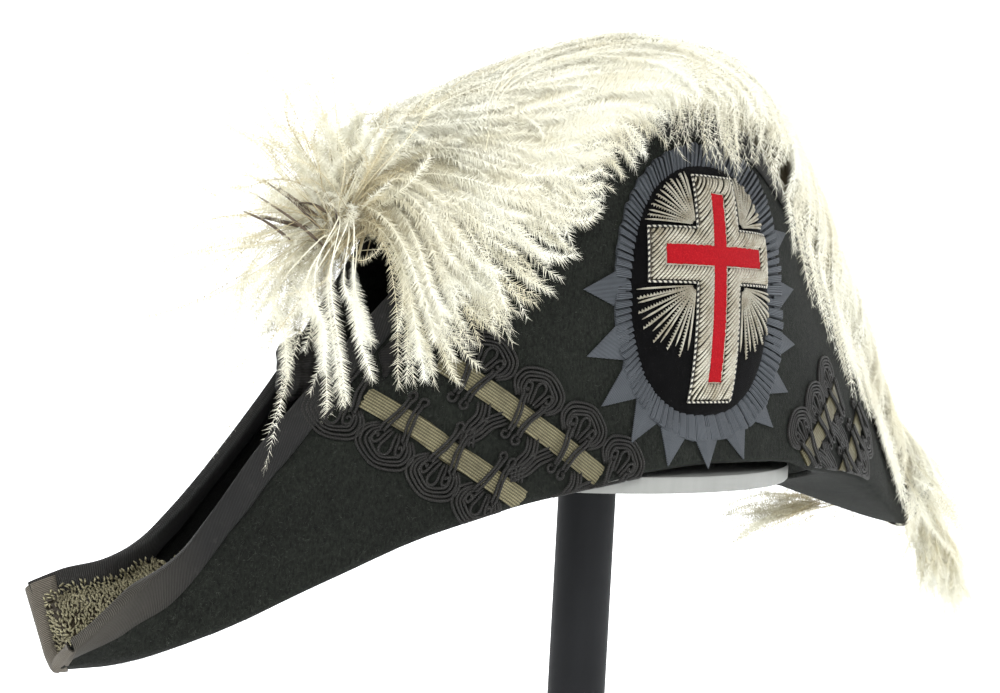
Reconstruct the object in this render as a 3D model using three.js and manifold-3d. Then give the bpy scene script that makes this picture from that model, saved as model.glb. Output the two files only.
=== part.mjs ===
// A plumed dress bicorne resting on a plain post stand.
// Millimetres, +Z up. The origin is the middle of the stand's underside. The hat is as long as X,
// with its front tip at -X and the side that carries the badge facing -Y.
import * as THREE from 'three';
import { mergeVertices } from 'three/addons/utils/BufferGeometryUtils.js';
import Module from 'manifold-3d';

const wasm = await Module();
wasm.setup();

// ---------------------------------------------------------------- driving dimensions

const GAP = 0.3; // air between pieces that touch
const NEAR = -1; // the badge side, -Y
const FAR = 1; // the other side, +Y

const STAND = {
  height: 230,
  baseRadius: 90,
  baseThickness: 18,
  baseEdge: 4,
  postRadius: 12.7,
  plateLength: 196,
  plateWidth: 153,
  plateThickness: 6.5,
};

const HAT = {
  front: 242, // middle to front tip
  rear: 222, // middle to rear tip
  halfWidth: 75, // middle to the fold of the brim
  tipWidth: 0.96, // how far the two folds close up towards the tips
  felt: 2,
  bulge: 3, // how far a turned-up wall bellies out
  keelDrop: 12, // how far the middle of a peak hangs below its folds
  foldSoftness: 3, // how far from the fold line the felt starts to turn
  nearCornerLength: 20, // the near wall's front corner is rounded off over this length
  nearCornerDrop: 13,
};

// The brim along its length: height of the fold, height of the wall's top edge, and half the gap
// between the two top edges. Heights are above the top of the stand's plate.
const BRIM = [
  { x: -242, fold: -69.5, top: -46, gap: 27 },
  { x: -230, fold: -68.3, top: -41, gap: 25 },
  { x: -218, fold: -65.5, top: -37, gap: 20 },
  { x: -206, fold: -61, top: -30.5, gap: 16.8 },
  { x: -190, fold: -53.5, top: -14, gap: 13.5 },
  { x: -175, fold: -45.5, top: 4.3, gap: 12 },
  { x: -155, fold: -35, top: 28, gap: 14 },
  { x: -135, fold: -25.2, top: 52.7, gap: 18 },
  { x: -115, fold: -17.5, top: 77, gap: 24 },
  { x: -90, fold: -10, top: 107, gap: 32 },
  { x: -60, fold: -3.8, top: 131, gap: 40 },
  { x: -42, fold: -0.9, top: 140, gap: 43.5 },
  { x: -30, fold: 1.2, top: 145, gap: 45 },
  { x: 0, fold: 3.8, top: 150, gap: 47 },
  { x: 30, fold: 3.2, top: 146, gap: 45 },
  { x: 60, fold: 1.2, top: 132, gap: 39.5 },
  { x: 90, fold: -2.4, top: 109, gap: 30.5 },
  { x: 118, fold: -7, top: 86, gap: 22 },
  { x: 143, fold: -15, top: 63, gap: 16 },
  { x: 163, fold: -23, top: 40, gap: 12.5 },
  { x: 178, fold: -28.5, top: 16, gap: 11.5 },
  { x: 188, fold: -32.3, top: -2, gap: 12.3 },
  { x: 200, fold: -36, top: -14, gap: 14.5 },
  { x: 212, fold: -39.5, top: -18, gap: 17 },
  { x: 222, fold: -41.5, top: -20, gap: 19 },
];

const OPENING = { halfLength: 102, halfWidth: 73, squareness: 3 };

const CROWN = { halfLength: 104, halfWidth: 71.8, squareness: 2.8, thickness: 1.7 };
// The crown's outline at each level, as shares of its size at the bottom.
const CROWN_LEVELS = [
  { z: 30, length: 0.95, width: 0.92 },
  { z: 60, length: 0.885, width: 0.845 },
  { z: 90, length: 0.8, width: 0.75 },
  { z: 106, length: 0.69, width: 0.66 },
  { z: 116, length: 0.54, width: 0.5 },
  { z: 122, length: 0.34, width: 0.31 },
];
const CROWN_TOP = 124.5;

const RIBBON = { width: 12, thickness: 0.7, tipWidth: 9, clear: 0.65 };

// The bundle of bullion in each open peak reaches up the walls to these shares of their height.
const BULLION = { length: 43, nearEdge: 0.38, farEdge: 0.7, crown: 3 };

const BADGE = {
  x: 2,
  z: 75.5,
  lean: THREE.MathUtils.degToRad(4.2), // of its upright line
  slope: THREE.MathUtils.degToRad(2.5), // of its level line
  halfWidth: 48, // to the outside of the pleated ribbon
  halfHeight: 60.5,
  squareness: 2.4,
  pleatWidth: 9,
  facet: 8, // the largest flat on a plate that bends over the dome
  pleats: 56,
  padDome: 7,
};

// One knife pleat: its rise where it starts and where it ends.
const PLEAT_PROFILE = [
  { share: 0, rise: 0.7 },
  { share: 0.92, rise: 2 },
];

// A Latin cross of silver bullion with a red one let into it. armRise is the height of the arms'
// middle line above the badge's middle.
const CROSS = { height: 91, armSpan: 65.5, bar: 24.4, armBar: 22.8, armRise: 12.3, thickness: 1.6 };
const INLAY = { height: 76, armSpan: 52, bar: 6.6, armBar: 8, armRise: 12.3, thickness: 0.8 };
const RAYS = { upper: 21, lower: 26, thickness: 1.2 };

// A whole round would have `count` points. They run from `before` ahead of the lowest one to
// `after` behind it, and the plume covers the place of the rest.
const POINTS = { count: 20, before: 5, after: 6, height: 11, wider: 5, thickness: 1, lift: 0.6 };

const LACE = { width: 8.6, thickness: 0.8 };
const BRAID = { width: 2.8, thickness: 1, sway: 5.4, repeat: 21 };

// The two groups of lace and braid on the near wall. Each group starts at (x, z) by the bottom
// edge, and its pieces run in the direction (climbX, climbZ). `outward` is the side of the badge.
const BRAID_GROUPS = [
  { name: 'front', x: -57, z: 1, climbX: -0.8, climbZ: 0.598, outward: -1 },
  { name: 'rear', x: 61.5, z: 4.5, climbX: 0.83, climbZ: 0.56, outward: 1 },
];
// Each piece of a group: how far along the climb it starts, how far towards the badge its middle
// line is set, and its length or its number of waves.
const LACE_BANDS = [
  { start: 0, set: 0, frontLength: 70, rearLength: 52 },
  { start: 21, set: -27, frontLength: 60, rearLength: 48 },
];
const BRAID_ROWS = [
  { start: 4, set: 11.7, waves: 3 },
  { start: 14, set: -13.5, waves: 3 },
  { start: 30, set: -38.5, waves: 2 },
];

// The plume over the hat: height of its crest, and the heights where its fringe ends on the near
// and the far side, with the thickness of the layer of barbs.
const PLUME = [
  { x: -114, crest: 138, near: 36, far: 38, thick: 15 },
  { x: -97, crest: 147, near: 40, far: 40, thick: 17 },
  { x: -80, crest: 154, near: 56, far: 46, thick: 18 },
  { x: -68, crest: 159, near: 70, far: 50, thick: 18 },
  { x: -58, crest: 163, near: 96, far: 54, thick: 18 },
  { x: -41, crest: 170, near: 114, far: 56, thick: 18 },
  { x: -20, crest: 177, near: 136, far: 56, thick: 17 },
  { x: 0, crest: 182, near: 139.5, far: 50, thick: 16 },
  { x: 40, crest: 182, near: 139, far: 25, thick: 13 },
  { x: 77, crest: 172, near: 116, far: 0, thick: 10 },
  { x: 98, crest: 158, near: 97, far: -15, thick: 9 },
  { x: 118, crest: 137, near: 81, far: -28, thick: 9 },
  { x: 143, crest: 103, near: 58, far: -36, thick: 9 },
  { x: 163, crest: 74, near: 34, far: -40, thick: 9 },
  { x: 178, crest: 50, near: 10, far: -43, thick: 9 },
  { x: 200, crest: 17, near: -20, far: -44, thick: 8 },
  { x: 223.8, crest: 0, near: -26, far: -45, thick: 8 },
];

const PLUME_CLEAR = 3.2; // air between the plume and the felt, where the bound edges lie

const FRONT_TUFT = [
  { x: -147, z: 92, halfWidth: 7, halfHeight: 6 },
  { x: -140, z: 95, halfWidth: 15, halfHeight: 14 },
  { x: -131, z: 99, halfWidth: 25, halfHeight: 24 },
  { x: -122, z: 106, halfWidth: 32, halfHeight: 30 },
  { x: -114.4, z: 112, halfWidth: 34, halfHeight: 28 },
];

const TAIL_TUFT = [
  { x: 224.3, z: -24, halfWidth: 24, halfHeight: 22 },
  { x: 236, z: -36, halfWidth: 22, halfHeight: 22 },
  { x: 250, z: -52, halfWidth: 17, halfHeight: 18 },
  { x: 264, z: -68, halfWidth: 12, halfHeight: 14 },
  { x: 277, z: -82, halfWidth: 5, halfHeight: 6 },
];

// Bare ends of the plume's quills, where they stick out of its front.
const QUILLS = [
  { name: 'quill_upper', from: [-147.5, -3, 95], to: [-166, -6, 104] },
  { name: 'quill_lower', from: [-147.5, -1, 90], to: [-172, -4, 93] },
];

const KNOT = { x: -155, y: -1.5, z: 36, halfLength: 10, halfWidth: 10.35, halfHeight: 13, creases: 3 };

// Ribbon folds, between these distances below the near wall's top edge.
const FOLDS = { from: -131, to: -115, upper: 13.5, lower: 22.5, thickness: 1, fold: 0.5 };

// ---------------------------------------------------------------- closed bodies

function solid(points, triangles) {
  let volume = 0;
  for (const [a, b, c] of triangles) {
    const [ax, ay, az] = points[a];
    const [bx, by, bz] = points[b];
    const [cx, cy, cz] = points[c];
    volume += ax * (by * cz - bz * cy) + ay * (bz * cx - bx * cz) + az * (bx * cy - by * cx);
  }
  const faces = volume > 0 ? triangles : triangles.map(([a, b, c]) => [a, c, b]);
  const geometry = new THREE.BufferGeometry();
  geometry.setAttribute('position', new THREE.Float32BufferAttribute(points.flat(), 3));
  geometry.setIndex(faces.flat());
  return geometry;
}

// A bent sheet: two grids of points, the two faces, joined all round the edge.
function sheet(outer, inner) {
  const rows = outer.length;
  const columns = outer[0].length;
  const points = [...outer.flat(), ...inner.flat()];
  const at = (side, i, j) => side * rows * columns + i * columns + j;
  const triangles = [];
  const quad = (a, b, c, d) => triangles.push([a, b, c], [a, c, d]);
  for (let i = 0; i + 1 < rows; i += 1) {
    for (let j = 0; j + 1 < columns; j += 1) {
      quad(at(0, i, j), at(0, i + 1, j), at(0, i + 1, j + 1), at(0, i, j + 1));
      quad(at(1, i, j), at(1, i, j + 1), at(1, i + 1, j + 1), at(1, i + 1, j));
    }
    quad(at(0, i, 0), at(1, i, 0), at(1, i + 1, 0), at(0, i + 1, 0));
    const last = columns - 1;
    quad(at(0, i, last), at(0, i + 1, last), at(1, i + 1, last), at(1, i, last));
  }
  for (let j = 0; j + 1 < columns; j += 1) {
    const last = rows - 1;
    quad(at(0, 0, j), at(0, 0, j + 1), at(1, 0, j + 1), at(1, 0, j));
    quad(at(0, last, j), at(1, last, j), at(1, last, j + 1), at(0, last, j + 1));
  }
  return solid(points, triangles);
}

function middle(ring) {
  return [0, 1, 2].map((k) => ring.reduce((sum, point) => sum + point[k], 0) / ring.length);
}

// A body through closed rings of points: with an end face at each end, or round into itself.
function loft(rings, { closed = false, start = middle(rings[0]), end = middle(rings.at(-1)) } = {}) {
  const sides = rings[0].length;
  const points = rings.flat();
  const triangles = [];
  const spans = closed ? rings.length : rings.length - 1;
  for (let i = 0; i < spans; i += 1) {
    const here = i * sides;
    const there = ((i + 1) % rings.length) * sides;
    for (let j = 0; j < sides; j += 1) {
      const k = (j + 1) % sides;
      triangles.push([here + j, there + j, there + k], [here + j, there + k, here + k]);
    }
  }
  if (!closed) {
    const first = points.push(start) - 1;
    const second = points.push(end) - 1;
    const last = (rings.length - 1) * sides;
    for (let j = 0; j < sides; j += 1) {
      const k = (j + 1) % sides;
      triangles.push([first, j, k], [second, last + k, last + j]);
    }
  }
  return solid(points, triangles);
}

function toManifold(geometry) {
  const plain = geometry.clone();
  plain.deleteAttribute('normal');
  plain.deleteAttribute('uv');
  const merged = mergeVertices(plain, 1e-4);
  const vertProperties = merged.attributes.position.array;
  const triVerts = new Uint32Array(merged.index.array);
  return new wasm.Manifold(new wasm.Mesh({ numProp: 3, vertProperties, triVerts }));
}

function fromManifold(body) {
  const { vertProperties, triVerts } = body.getMesh();
  const geometry = new THREE.BufferGeometry();
  geometry.setAttribute('position', new THREE.BufferAttribute(new Float32Array(vertProperties), 3));
  geometry.setIndex(new THREE.BufferAttribute(new Uint32Array(triVerts), 1));
  return geometry;
}

// ---------------------------------------------------------------- small mathematics

// A smooth curve through a table's rows, with no overshoot between them.
function follow(rows, column, x) {
  let i = 0;
  while (i < rows.length - 2 && x > rows[i + 1].x) i += 1;
  const slope = (k) => (rows[k + 1][column] - rows[k][column]) / (rows[k + 1].x - rows[k].x);
  const tangent = (k) => {
    if (k === 0) return slope(0);
    if (k === rows.length - 1) return slope(k - 1);
    const before = slope(k - 1);
    const after = slope(k);
    return before * after <= 0 ? 0 : (2 * before * after) / (before + after);
  };
  const width = rows[i + 1].x - rows[i].x;
  const s = THREE.MathUtils.clamp((x - rows[i].x) / width, 0, 1);
  const fromHere = (1 + 2 * s) * (1 - s) ** 2 * rows[i][column];
  const toThere = s * s * (3 - 2 * s) * rows[i + 1][column];
  return fromHere + toThere + width * (s * (1 - s) ** 2 * tangent(i) + s * s * (s - 1) * tangent(i + 1));
}

function steps(from, to, count) {
  return Array.from({ length: count + 1 }, (_, i) => from + ((to - from) * i) / count);
}

function shifted(point, direction, distance) {
  return point.map((value, k) => value + direction[k] * distance);
}

function unit(vector) {
  const length = Math.hypot(...vector);
  return vector.map((value) => value / length);
}

function cross(a, b) {
  return [a[1] * b[2] - a[2] * b[1], a[2] * b[0] - a[0] * b[2], a[0] * b[1] - a[1] * b[0]];
}

// Half the width of a squared oval at x.
function ovalHalf(x, { halfLength, halfWidth, squareness }) {
  return halfWidth * Math.max(0, 1 - (Math.abs(x) / halfLength) ** squareness) ** (1 / squareness);
}

// ---------------------------------------------------------------- the felt's surface

const reach = (x) => Math.min(1, Math.abs(x) / (x < 0 ? HAT.front : HAT.rear));
const foldHalf = (x) => HAT.halfWidth * (1 - HAT.tipWidth * reach(x) ** 2);
const foldHeight = (x) => follow(BRIM, 'fold', x);
const cornerShare = (x) => Math.max(0, 1 - (x + HAT.front) / HAT.nearCornerLength);
const cornerDrop = (x, side) => (side === NEAR ? HAT.nearCornerDrop * cornerShare(x) ** 1.6 : 0);
const topHeight = (x, side = FAR) => follow(BRIM, 'top', x) - cornerDrop(x, side);
const topHalf = (x) => follow(BRIM, 'gap', x);
const keelHeight = (x) => foldHeight(x) - HAT.keelDrop * Math.min(1, (1 - reach(x)) / 0.55) ** 1.2;

// A point of a turned-up wall's outer face: t is 0 at the fold and 1 at the top edge.
function wallPoint(x, t, side) {
  const belly = HAT.bulge * Math.sin(Math.PI * Math.min(1, t)) * (1 - reach(x) ** 2);
  const cut = cornerDrop(x, side) / (topHeight(x) - foldHeight(x));
  const y = foldHalf(x) + (topHalf(x) - foldHalf(x)) * t * (1 - cut) + belly;
  return [x, side * y, foldHeight(x) + (topHeight(x, side) - foldHeight(x)) * t];
}

// The direction straight out of a wall's outer face.
function wallNormal(x, t, side) {
  const step = 0.5;
  const along = wallPoint(x + step, t, side).map((value, k) => value - wallPoint(x - step, t, side)[k]);
  const up = wallPoint(x, t + 0.01, side).map((value, k) => value - wallPoint(x, t - 0.01, side)[k]);
  return unit(cross(along, up)).map((value) => -side * value);
}

// A point of the near wall at a given height, lifted off the felt.
function onWall(x, z, lift, side = NEAR) {
  const t = (z - foldHeight(x)) / (topHeight(x) - foldHeight(x));
  return shifted(wallPoint(x, t, side), wallNormal(x, t, side), lift);
}

// The outline across the brim at x, from the near top edge down, under and up to the far one.
const WALL_STEPS = [1, 0.86, 0.7, 0.54, 0.38, 0.22];

function brimOutline(x) {
  const wallCorner = (side) => Math.min(0.13, HAT.foldSoftness / (topHeight(x, side) - foldHeight(x)));
  const floorCorner = 1 - Math.min(0.35, HAT.foldSoftness / foldHalf(x));
  const half = (side) => [
    ...[...WALL_STEPS, wallCorner(side)].map((t) => wallPoint(x, t, side)),
    ...[floorCorner, 0.45].map((share) => {
      const z = keelHeight(x) + (foldHeight(x) - keelHeight(x)) * share;
      return [x, side * foldHalf(x) * share, z];
    }),
  ];
  return [...half(NEAR), [x, 0, keelHeight(x)], ...half(FAR).reverse()];
}

// The same outline moved towards the inside of the trough.
function insetOutline(outline, distance) {
  return outline.map(([x, y, z], j) => {
    const before = outline[Math.max(0, j - 1)];
    const after = outline[Math.min(outline.length - 1, j + 1)];
    const [, dy, dz] = unit([0, after[1] - before[1], after[2] - before[2]]);
    return [x, y - dz * distance, z + dy * distance];
  });
}

// ---------------------------------------------------------------- felt pieces

function brimStations() {
  const tip = steps(0, RIBBON.tipWidth, 2);
  const frontTip = [...tip.map((inwards) => inwards - HAT.front), -229, -225, -221, -217, -213, -208.5];
  const rearTip = [203, 208, ...tip.map((inwards) => HAT.rear - inwards).reverse()];
  const body = [...steps(-204, -114, 9), ...steps(-104, 104, 16), ...steps(114, 198, 9)];
  return [...frontTip, ...body, ...rearTip];
}

function openingCutter() {
  const ends = OPENING.halfLength - 0.6;
  const columns = steps(-1, 1, 4);
  const stations = [-ends, -99, -94, -87, ...steps(-78, 78, 12), 87, 94, 99, ends];
  const layer = (height) =>
    stations.map((x) => columns.map((share) => [x, share * ovalHalf(x, OPENING), height(x)]));
  return sheet(
    layer((x) => foldHeight(x) + HAT.felt + 0.6),
    layer(() => -60),
  );
}

function feltBrim() {
  const outer = brimStations().map((x) => brimOutline(x));
  const inner = outer.map((outline) => insetOutline(outline, HAT.felt));
  return fromManifold(toManifold(sheet(outer, inner)).subtract(toManifold(openingCutter())));
}

function crownRing(size, height, sides = 32) {
  return steps(0, 2 * Math.PI, sides)
    .slice(0, -1)
    .map((angle) => {
      const power = 2 / size.squareness;
      const x = size.halfLength * Math.sign(Math.cos(angle)) * Math.abs(Math.cos(angle)) ** power;
      const y = size.halfWidth * Math.sign(Math.sin(angle)) * Math.abs(Math.sin(angle)) ** power;
      return [x, y, height(x, y)];
    });
}

// The brim's floor is highest at its folds and lowest along the keel.
function floorHeight(x, y) {
  const share = Math.min(1, Math.abs(y) / foldHalf(x));
  return keelHeight(x) + (foldHeight(x) - keelHeight(x)) * share + HAT.felt;
}

function feltCrown() {
  const foot = (x, y) => floorHeight(x, y) + 0.5;
  const layer = (inset) => {
    const sized = (length, width) => ({
      halfLength: CROWN.halfLength * length - inset,
      halfWidth: CROWN.halfWidth * width - inset,
      squareness: CROWN.squareness,
    });
    const levels = CROWN_LEVELS.map(({ z, length, width }) =>
      crownRing(sized(length, width), () => z - inset * 0.6),
    );
    return [crownRing(sized(1, 1), foot), ...levels];
  };
  const outside = layer(0).reverse();
  const inside = layer(CROWN.thickness);
  return loft([...outside, ...inside], {
    start: [0, 0, CROWN_TOP],
    end: [0, 0, CROWN_TOP - CROWN.thickness],
  });
}

// ---------------------------------------------------------------- ribbon on the edges

// The ribbon folded over a wall's top edge, from tip to tip.
function edgeBinding(side) {
  const outer = [];
  const inner = [];
  for (const x of brimStations()) {
    const top = wallPoint(x, 1, side);
    const height = topHeight(x, side) - foldHeight(x);
    const down = unit(wallPoint(x, WALL_STEPS[1], side).map((value, k) => value - top[k]));
    const normal = [0, -side * down[2], side * down[1]];
    const reachDown = Math.min(RIBBON.width, height * 0.46);
    const leg = (clear, away) =>
      [reachDown, reachDown / 2, -clear].map((drop) => shifted(shifted(top, down, drop), normal, away));
    const contour = (clear) => [...leg(clear, clear), ...leg(clear, -HAT.felt - clear).reverse()];
    outer.push(contour(RIBBON.clear + RIBBON.thickness));
    inner.push(contour(RIBBON.clear));
  }
  return sheet(outer, inner);
}

// The lower part of the outline across a peak, under the edge bindings, moved inwards.
function lowerOutline(x, inset) {
  const above = WALL_STEPS.indexOf(0.38);
  return insetOutline(brimOutline(x), inset).slice(above, -above);
}

// The ribbon over the open end of a peak, between the two edge bindings.
function tipBinding(end) {
  const tip = end < 0 ? -HAT.front : HAT.rear;
  const back = tip - end * RIBBON.tipWidth;
  const layer = (clear) => {
    const row = (x, inset, shift) => lowerOutline(x, inset).map(([, y, z]) => [x + shift, y, z]);
    return [
      row(back, -clear, 0),
      row(tip, -clear, end * clear),
      row(tip, HAT.felt + clear, end * clear),
      row(back, HAT.felt + clear, 0),
    ];
  };
  return sheet(layer(RIBBON.clear + RIBBON.thickness), layer(RIBBON.clear));
}

// ---------------------------------------------------------------- bullion in the peaks

function tipBullion(end) {
  const tip = end < 0 ? -HAT.front : HAT.rear;
  const clear = HAT.felt + RIBBON.clear + RIBBON.thickness + 3 * GAP;
  const rings = [2, ...steps(RIBBON.tipWidth, BULLION.length, 4)].map((distance) => {
    const x = tip - end * distance;
    // Without the three rows on each side of the keel, the bed doesn't cross itself there.
    const rowsFromKeel = (j) => Math.abs(j - WALL_STEPS.length - 3);
    const bed = insetOutline(brimOutline(x), clear)
      .filter((_, j) => rowsFromKeel(j) === 0 || rowsFromKeel(j) > 3)
      .slice(WALL_STEPS.indexOf(BULLION.nearEdge), -WALL_STEPS.indexOf(BULLION.farEdge));
    const [, firstY, firstZ] = bed[0];
    const [, lastY, lastZ] = bed.at(-1);
    const top = steps(0.2, 0.8, 3).map((share) => {
      const rise = BULLION.crown * Math.sin(Math.PI * share);
      return [x, lastY + (firstY - lastY) * share, lastZ + (firstZ - lastZ) * share + rise];
    });
    return [...bed, ...top];
  });
  return loft(rings);
}

// ---------------------------------------------------------------- the badge

// A point of the badge: u to the rear, v up, both from its middle and turned by its lean.
function onBadge(u, v, lift) {
  const x = BADGE.x + u * Math.cos(BADGE.slope) + v * Math.sin(BADGE.lean);
  const z = BADGE.z - u * Math.sin(BADGE.slope) + v * Math.cos(BADGE.lean);
  return onWall(x, z, lift);
}

// A point of the badge's squared oval, a distance inside its outer edge.
function badgeOval(angle, inset) {
  const power = 2 / BADGE.squareness;
  const share = (value) => Math.sign(value) * Math.abs(value) ** power;
  const u = (BADGE.halfWidth - inset) * share(Math.cos(angle));
  const v = (BADGE.halfHeight - inset) * share(Math.sin(angle));
  return [u, v];
}

// How far the velvet stands off the felt at a point of the badge.
function padLift(u, v) {
  const across = Math.abs(u) / (BADGE.halfWidth - BADGE.pleatWidth);
  const up = Math.abs(v) / (BADGE.halfHeight - BADGE.pleatWidth);
  const share = across ** BADGE.squareness + up ** BADGE.squareness;
  return 1.2 + BADGE.padDome * Math.sqrt(Math.max(0, 1 - share));
}

const PAD_CLEAR = 0.5; // the velvet lies this far under what is sewn on it

function velvetPad() {
  const ring = (share, lift) =>
    steps(0, 2 * Math.PI, 40)
      .slice(0, -1)
      .map((angle) => {
        const [u, v] = badgeOval(angle, BADGE.pleatWidth + GAP).map((value) => value * share);
        return onBadge(u, v, lift(u, v));
      });
  const back = [0.5, 1].map((share) => ring(share, () => GAP + 0.1));
  const dome = (u, v) => padLift(u, v) - PAD_CLEAR;
  const front = [1, 0.96, 0.86, 0.7, 0.45, 0.2].map((share) => ring(share, dome));
  return loft([...back, ...front], {
    start: onBadge(0, 0, GAP + 0.1),
    end: onBadge(0, 0, padLift(0, 0) - PAD_CLEAR),
  });
}

// Knife pleats: each one rises along its length and drops at its end.
function pleatedRibbon() {
  const inside = BADGE.pleatWidth - GAP;
  const under = POINTS.lift + POINTS.thickness + GAP;
  const rings = steps(0, BADGE.pleats, BADGE.pleats)
    .slice(0, -1)
    .flatMap((pleat) =>
      PLEAT_PROFILE.map(({ share, rise }) => {
        const angle = ((pleat + share) / BADGE.pleats) * 2 * Math.PI;
        const edge = (inset, lift) => onBadge(...badgeOval(angle, inset), lift);
        const outerRise = rise * 0.7;
        return [edge(inside, under), edge(0, under), edge(0, under + outerRise), edge(inside, under + rise)];
      }),
    );
  return loft(rings, { closed: true });
}

// Folded ribbon points under the pleats, round the lower part of the oval.
function ribbonPoints() {
  const upper = POINTS.lift + POINTS.thickness;
  const first = -2 * POINTS.before - 1;
  const last = 2 * POINTS.after + 1;
  const rings = steps(first, last, last - first).map((half) => {
    const angle = -Math.PI / 2 + (half * Math.PI) / POINTS.count;
    const tip = POINTS.height + POINTS.wider * Math.abs(Math.cos(angle));
    const out = half % 2 === 0 ? tip : -1;
    const edge = (away, lift) => onBadge(...badgeOval(angle, -away), lift);
    return [edge(-3.5, POINTS.lift), edge(out, POINTS.lift), edge(out, upper), edge(-3.5, upper)];
  });
  return loft(rings);
}

// Marks with enough lines set between them for a plate to bend over the dome.
function ruled(marks) {
  const sorted = [...marks].sort((a, b) => a - b);
  const between = sorted.slice(1).flatMap((mark, i) => {
    const cells = Math.ceil((mark - sorted[i]) / BADGE.facet);
    return steps(sorted[i], mark, cells).slice(1);
  });
  return [sorted[0], ...between];
}

// A plate that follows the velvet's dome, made of the cells of a grid that lie inside a figure.
function plateOnPad(us, vs, inside, thickness) {
  const rows = vs.length;
  const layer = (lift) => us.flatMap((u) => vs.map((v) => onBadge(u, v, padLift(u, v) + lift)));
  const points = [...layer(0), ...layer(thickness)];
  const at = (top, i, j) => (top * us.length + i) * rows + j;
  const has = (i, j) =>
    i >= 0 && j >= 0 && i + 1 < us.length && j + 1 < rows
    && inside((us[i] + us[i + 1]) / 2, (vs[j] + vs[j + 1]) / 2);
  const triangles = [];
  const quad = (a, b, c, d) => triangles.push([a, b, c], [a, c, d]);
  const side = (i, j, k, l) => quad(at(0, i, j), at(0, k, l), at(1, k, l), at(1, i, j));
  for (let i = 0; i + 1 < us.length; i += 1) {
    for (let j = 0; j + 1 < rows; j += 1) {
      if (has(i, j)) {
        quad(at(1, i, j), at(1, i + 1, j), at(1, i + 1, j + 1), at(1, i, j + 1));
        quad(at(0, i, j), at(0, i, j + 1), at(0, i + 1, j + 1), at(0, i + 1, j));
        if (!has(i, j - 1)) side(i, j, i + 1, j);
        if (!has(i + 1, j)) side(i + 1, j, i + 1, j + 1);
        if (!has(i, j + 1)) side(i + 1, j + 1, i, j + 1);
        if (!has(i - 1, j)) side(i, j + 1, i, j);
      }
    }
  }
  const used = [...new Set(triangles.flat())];
  const renumbered = new Map(used.map((old, index) => [old, index]));
  return solid(
    used.map((old) => points[old]),
    triangles.map((corners) => corners.map((corner) => renumbered.get(corner))),
  );
}

const inUpright = ({ height, bar }, spare = 0) => (u, v) =>
  Math.abs(u) < bar / 2 + spare && Math.abs(v) < height / 2 + spare;
const inArms = ({ armSpan, armBar, armRise }, spare = 0) => (u, v) =>
  Math.abs(u) < armSpan / 2 + spare && Math.abs(v - armRise) < armBar / 2 + spare;
const inCross = (size, spare) => (u, v) => inUpright(size, spare)(u, v) || inArms(size, spare)(u, v);

// The lines along the edges of a cross, as half widths across and as heights.
function crossMarks({ height, armSpan, bar, armBar, armRise }, spare = 0) {
  const across = [bar / 2 + spare, armSpan / 2 + spare];
  const armEdges = [armRise - armBar / 2 - spare, armRise + armBar / 2 + spare];
  return {
    us: [...across, ...across.map((u) => -u)],
    vs: [-height / 2 - spare, ...armEdges, height / 2 + spare],
  };
}

function silverCross() {
  const edges = crossMarks(CROSS);
  const slot = crossMarks(INLAY, GAP);
  const inside = (u, v) => inCross(CROSS)(u, v) && !inCross(INLAY, GAP)(u, v);
  const us = ruled([...edges.us, ...slot.us]);
  const vs = ruled([...edges.vs, ...slot.vs]);
  return plateOnPad(us, vs, inside, CROSS.thickness);
}

function redInlay() {
  const { us, vs } = crossMarks(INLAY);
  return plateOnPad(ruled(us), ruled(vs), inCross(INLAY), INLAY.thickness);
}

// A fan of bullion rays in one corner between the arms of the cross.
function rayFan(sideways, upwards) {
  const reachOut = upwards > 0 ? RAYS.upper : RAYS.lower;
  const cornerU = CROSS.bar / 2 + 2 * GAP;
  const cornerV = CROSS.armBar / 2 + 2 * GAP;
  const grid = steps(0.06, 1, 4).map((share) =>
    steps(0.02, 0.98, 6).map((turn) => {
      const angle = (turn * Math.PI) / 2;
      const u = cornerU + share * RAYS.upper * Math.cos(angle);
      const v = cornerV + share * reachOut * Math.sin(angle);
      return [sideways * u, CROSS.armRise + upwards * v];
    }),
  );
  const face = (lift) => grid.map((row) => row.map(([u, v]) => onBadge(u, v, padLift(u, v) + lift)));
  return sheet(face(RAYS.thickness), face(0));
}

// ---------------------------------------------------------------- lace and braid on the near wall

// A flat band along a route on the near wall, each point given as x and height.
function wallBand(route, width, lift, thickness) {
  const rings = route.map(([x, z], i) => {
    const before = onWall(...route[Math.max(0, i - 1)], 0);
    const after = onWall(...route[Math.min(route.length - 1, i + 1)], 0);
    const along = unit(after.map((value, k) => value - before[k]));
    const t = (z - foldHeight(x)) / (topHeight(x) - foldHeight(x));
    const normal = wallNormal(x, t, NEAR);
    const across = unit(cross(normal, along));
    const edge = (side) => shifted(onWall(x, z, 0), across, (side * width) / 2);
    const corner = (side, height) => shifted(edge(side), normal, height);
    return [corner(-1, lift), corner(1, lift), corner(1, lift + thickness), corner(-1, lift + thickness)];
  });
  return loft(rings);
}

// A point of a braid group as x and height: along the climb, and across it towards the badge.
function groupPoint({ x, z, climbX, climbZ, outward }, along, across) {
  return [x + climbX * along - outward * climbZ * across, z + climbZ * along + outward * climbX * across];
}

function laceBand(group, { start, set, frontLength, rearLength }) {
  const length = group.name === 'front' ? frontLength : rearLength;
  const route = steps(start, start + length, 8).map((along) => groupPoint(group, along, set));
  return wallBand(route, LACE.width, GAP, LACE.thickness);
}

// Cord sewn down in waves.
function braidRow(group, { start, set, waves }) {
  const route = steps(0, waves, waves * 12).map((turn) => {
    const sway = BRAID.sway * Math.sin(2 * Math.PI * turn);
    return groupPoint(group, start + turn * BRAID.repeat, set + sway);
  });
  return wallBand(route, BRAID.width, GAP, BRAID.thickness);
}

// ---------------------------------------------------------------- plume

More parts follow.
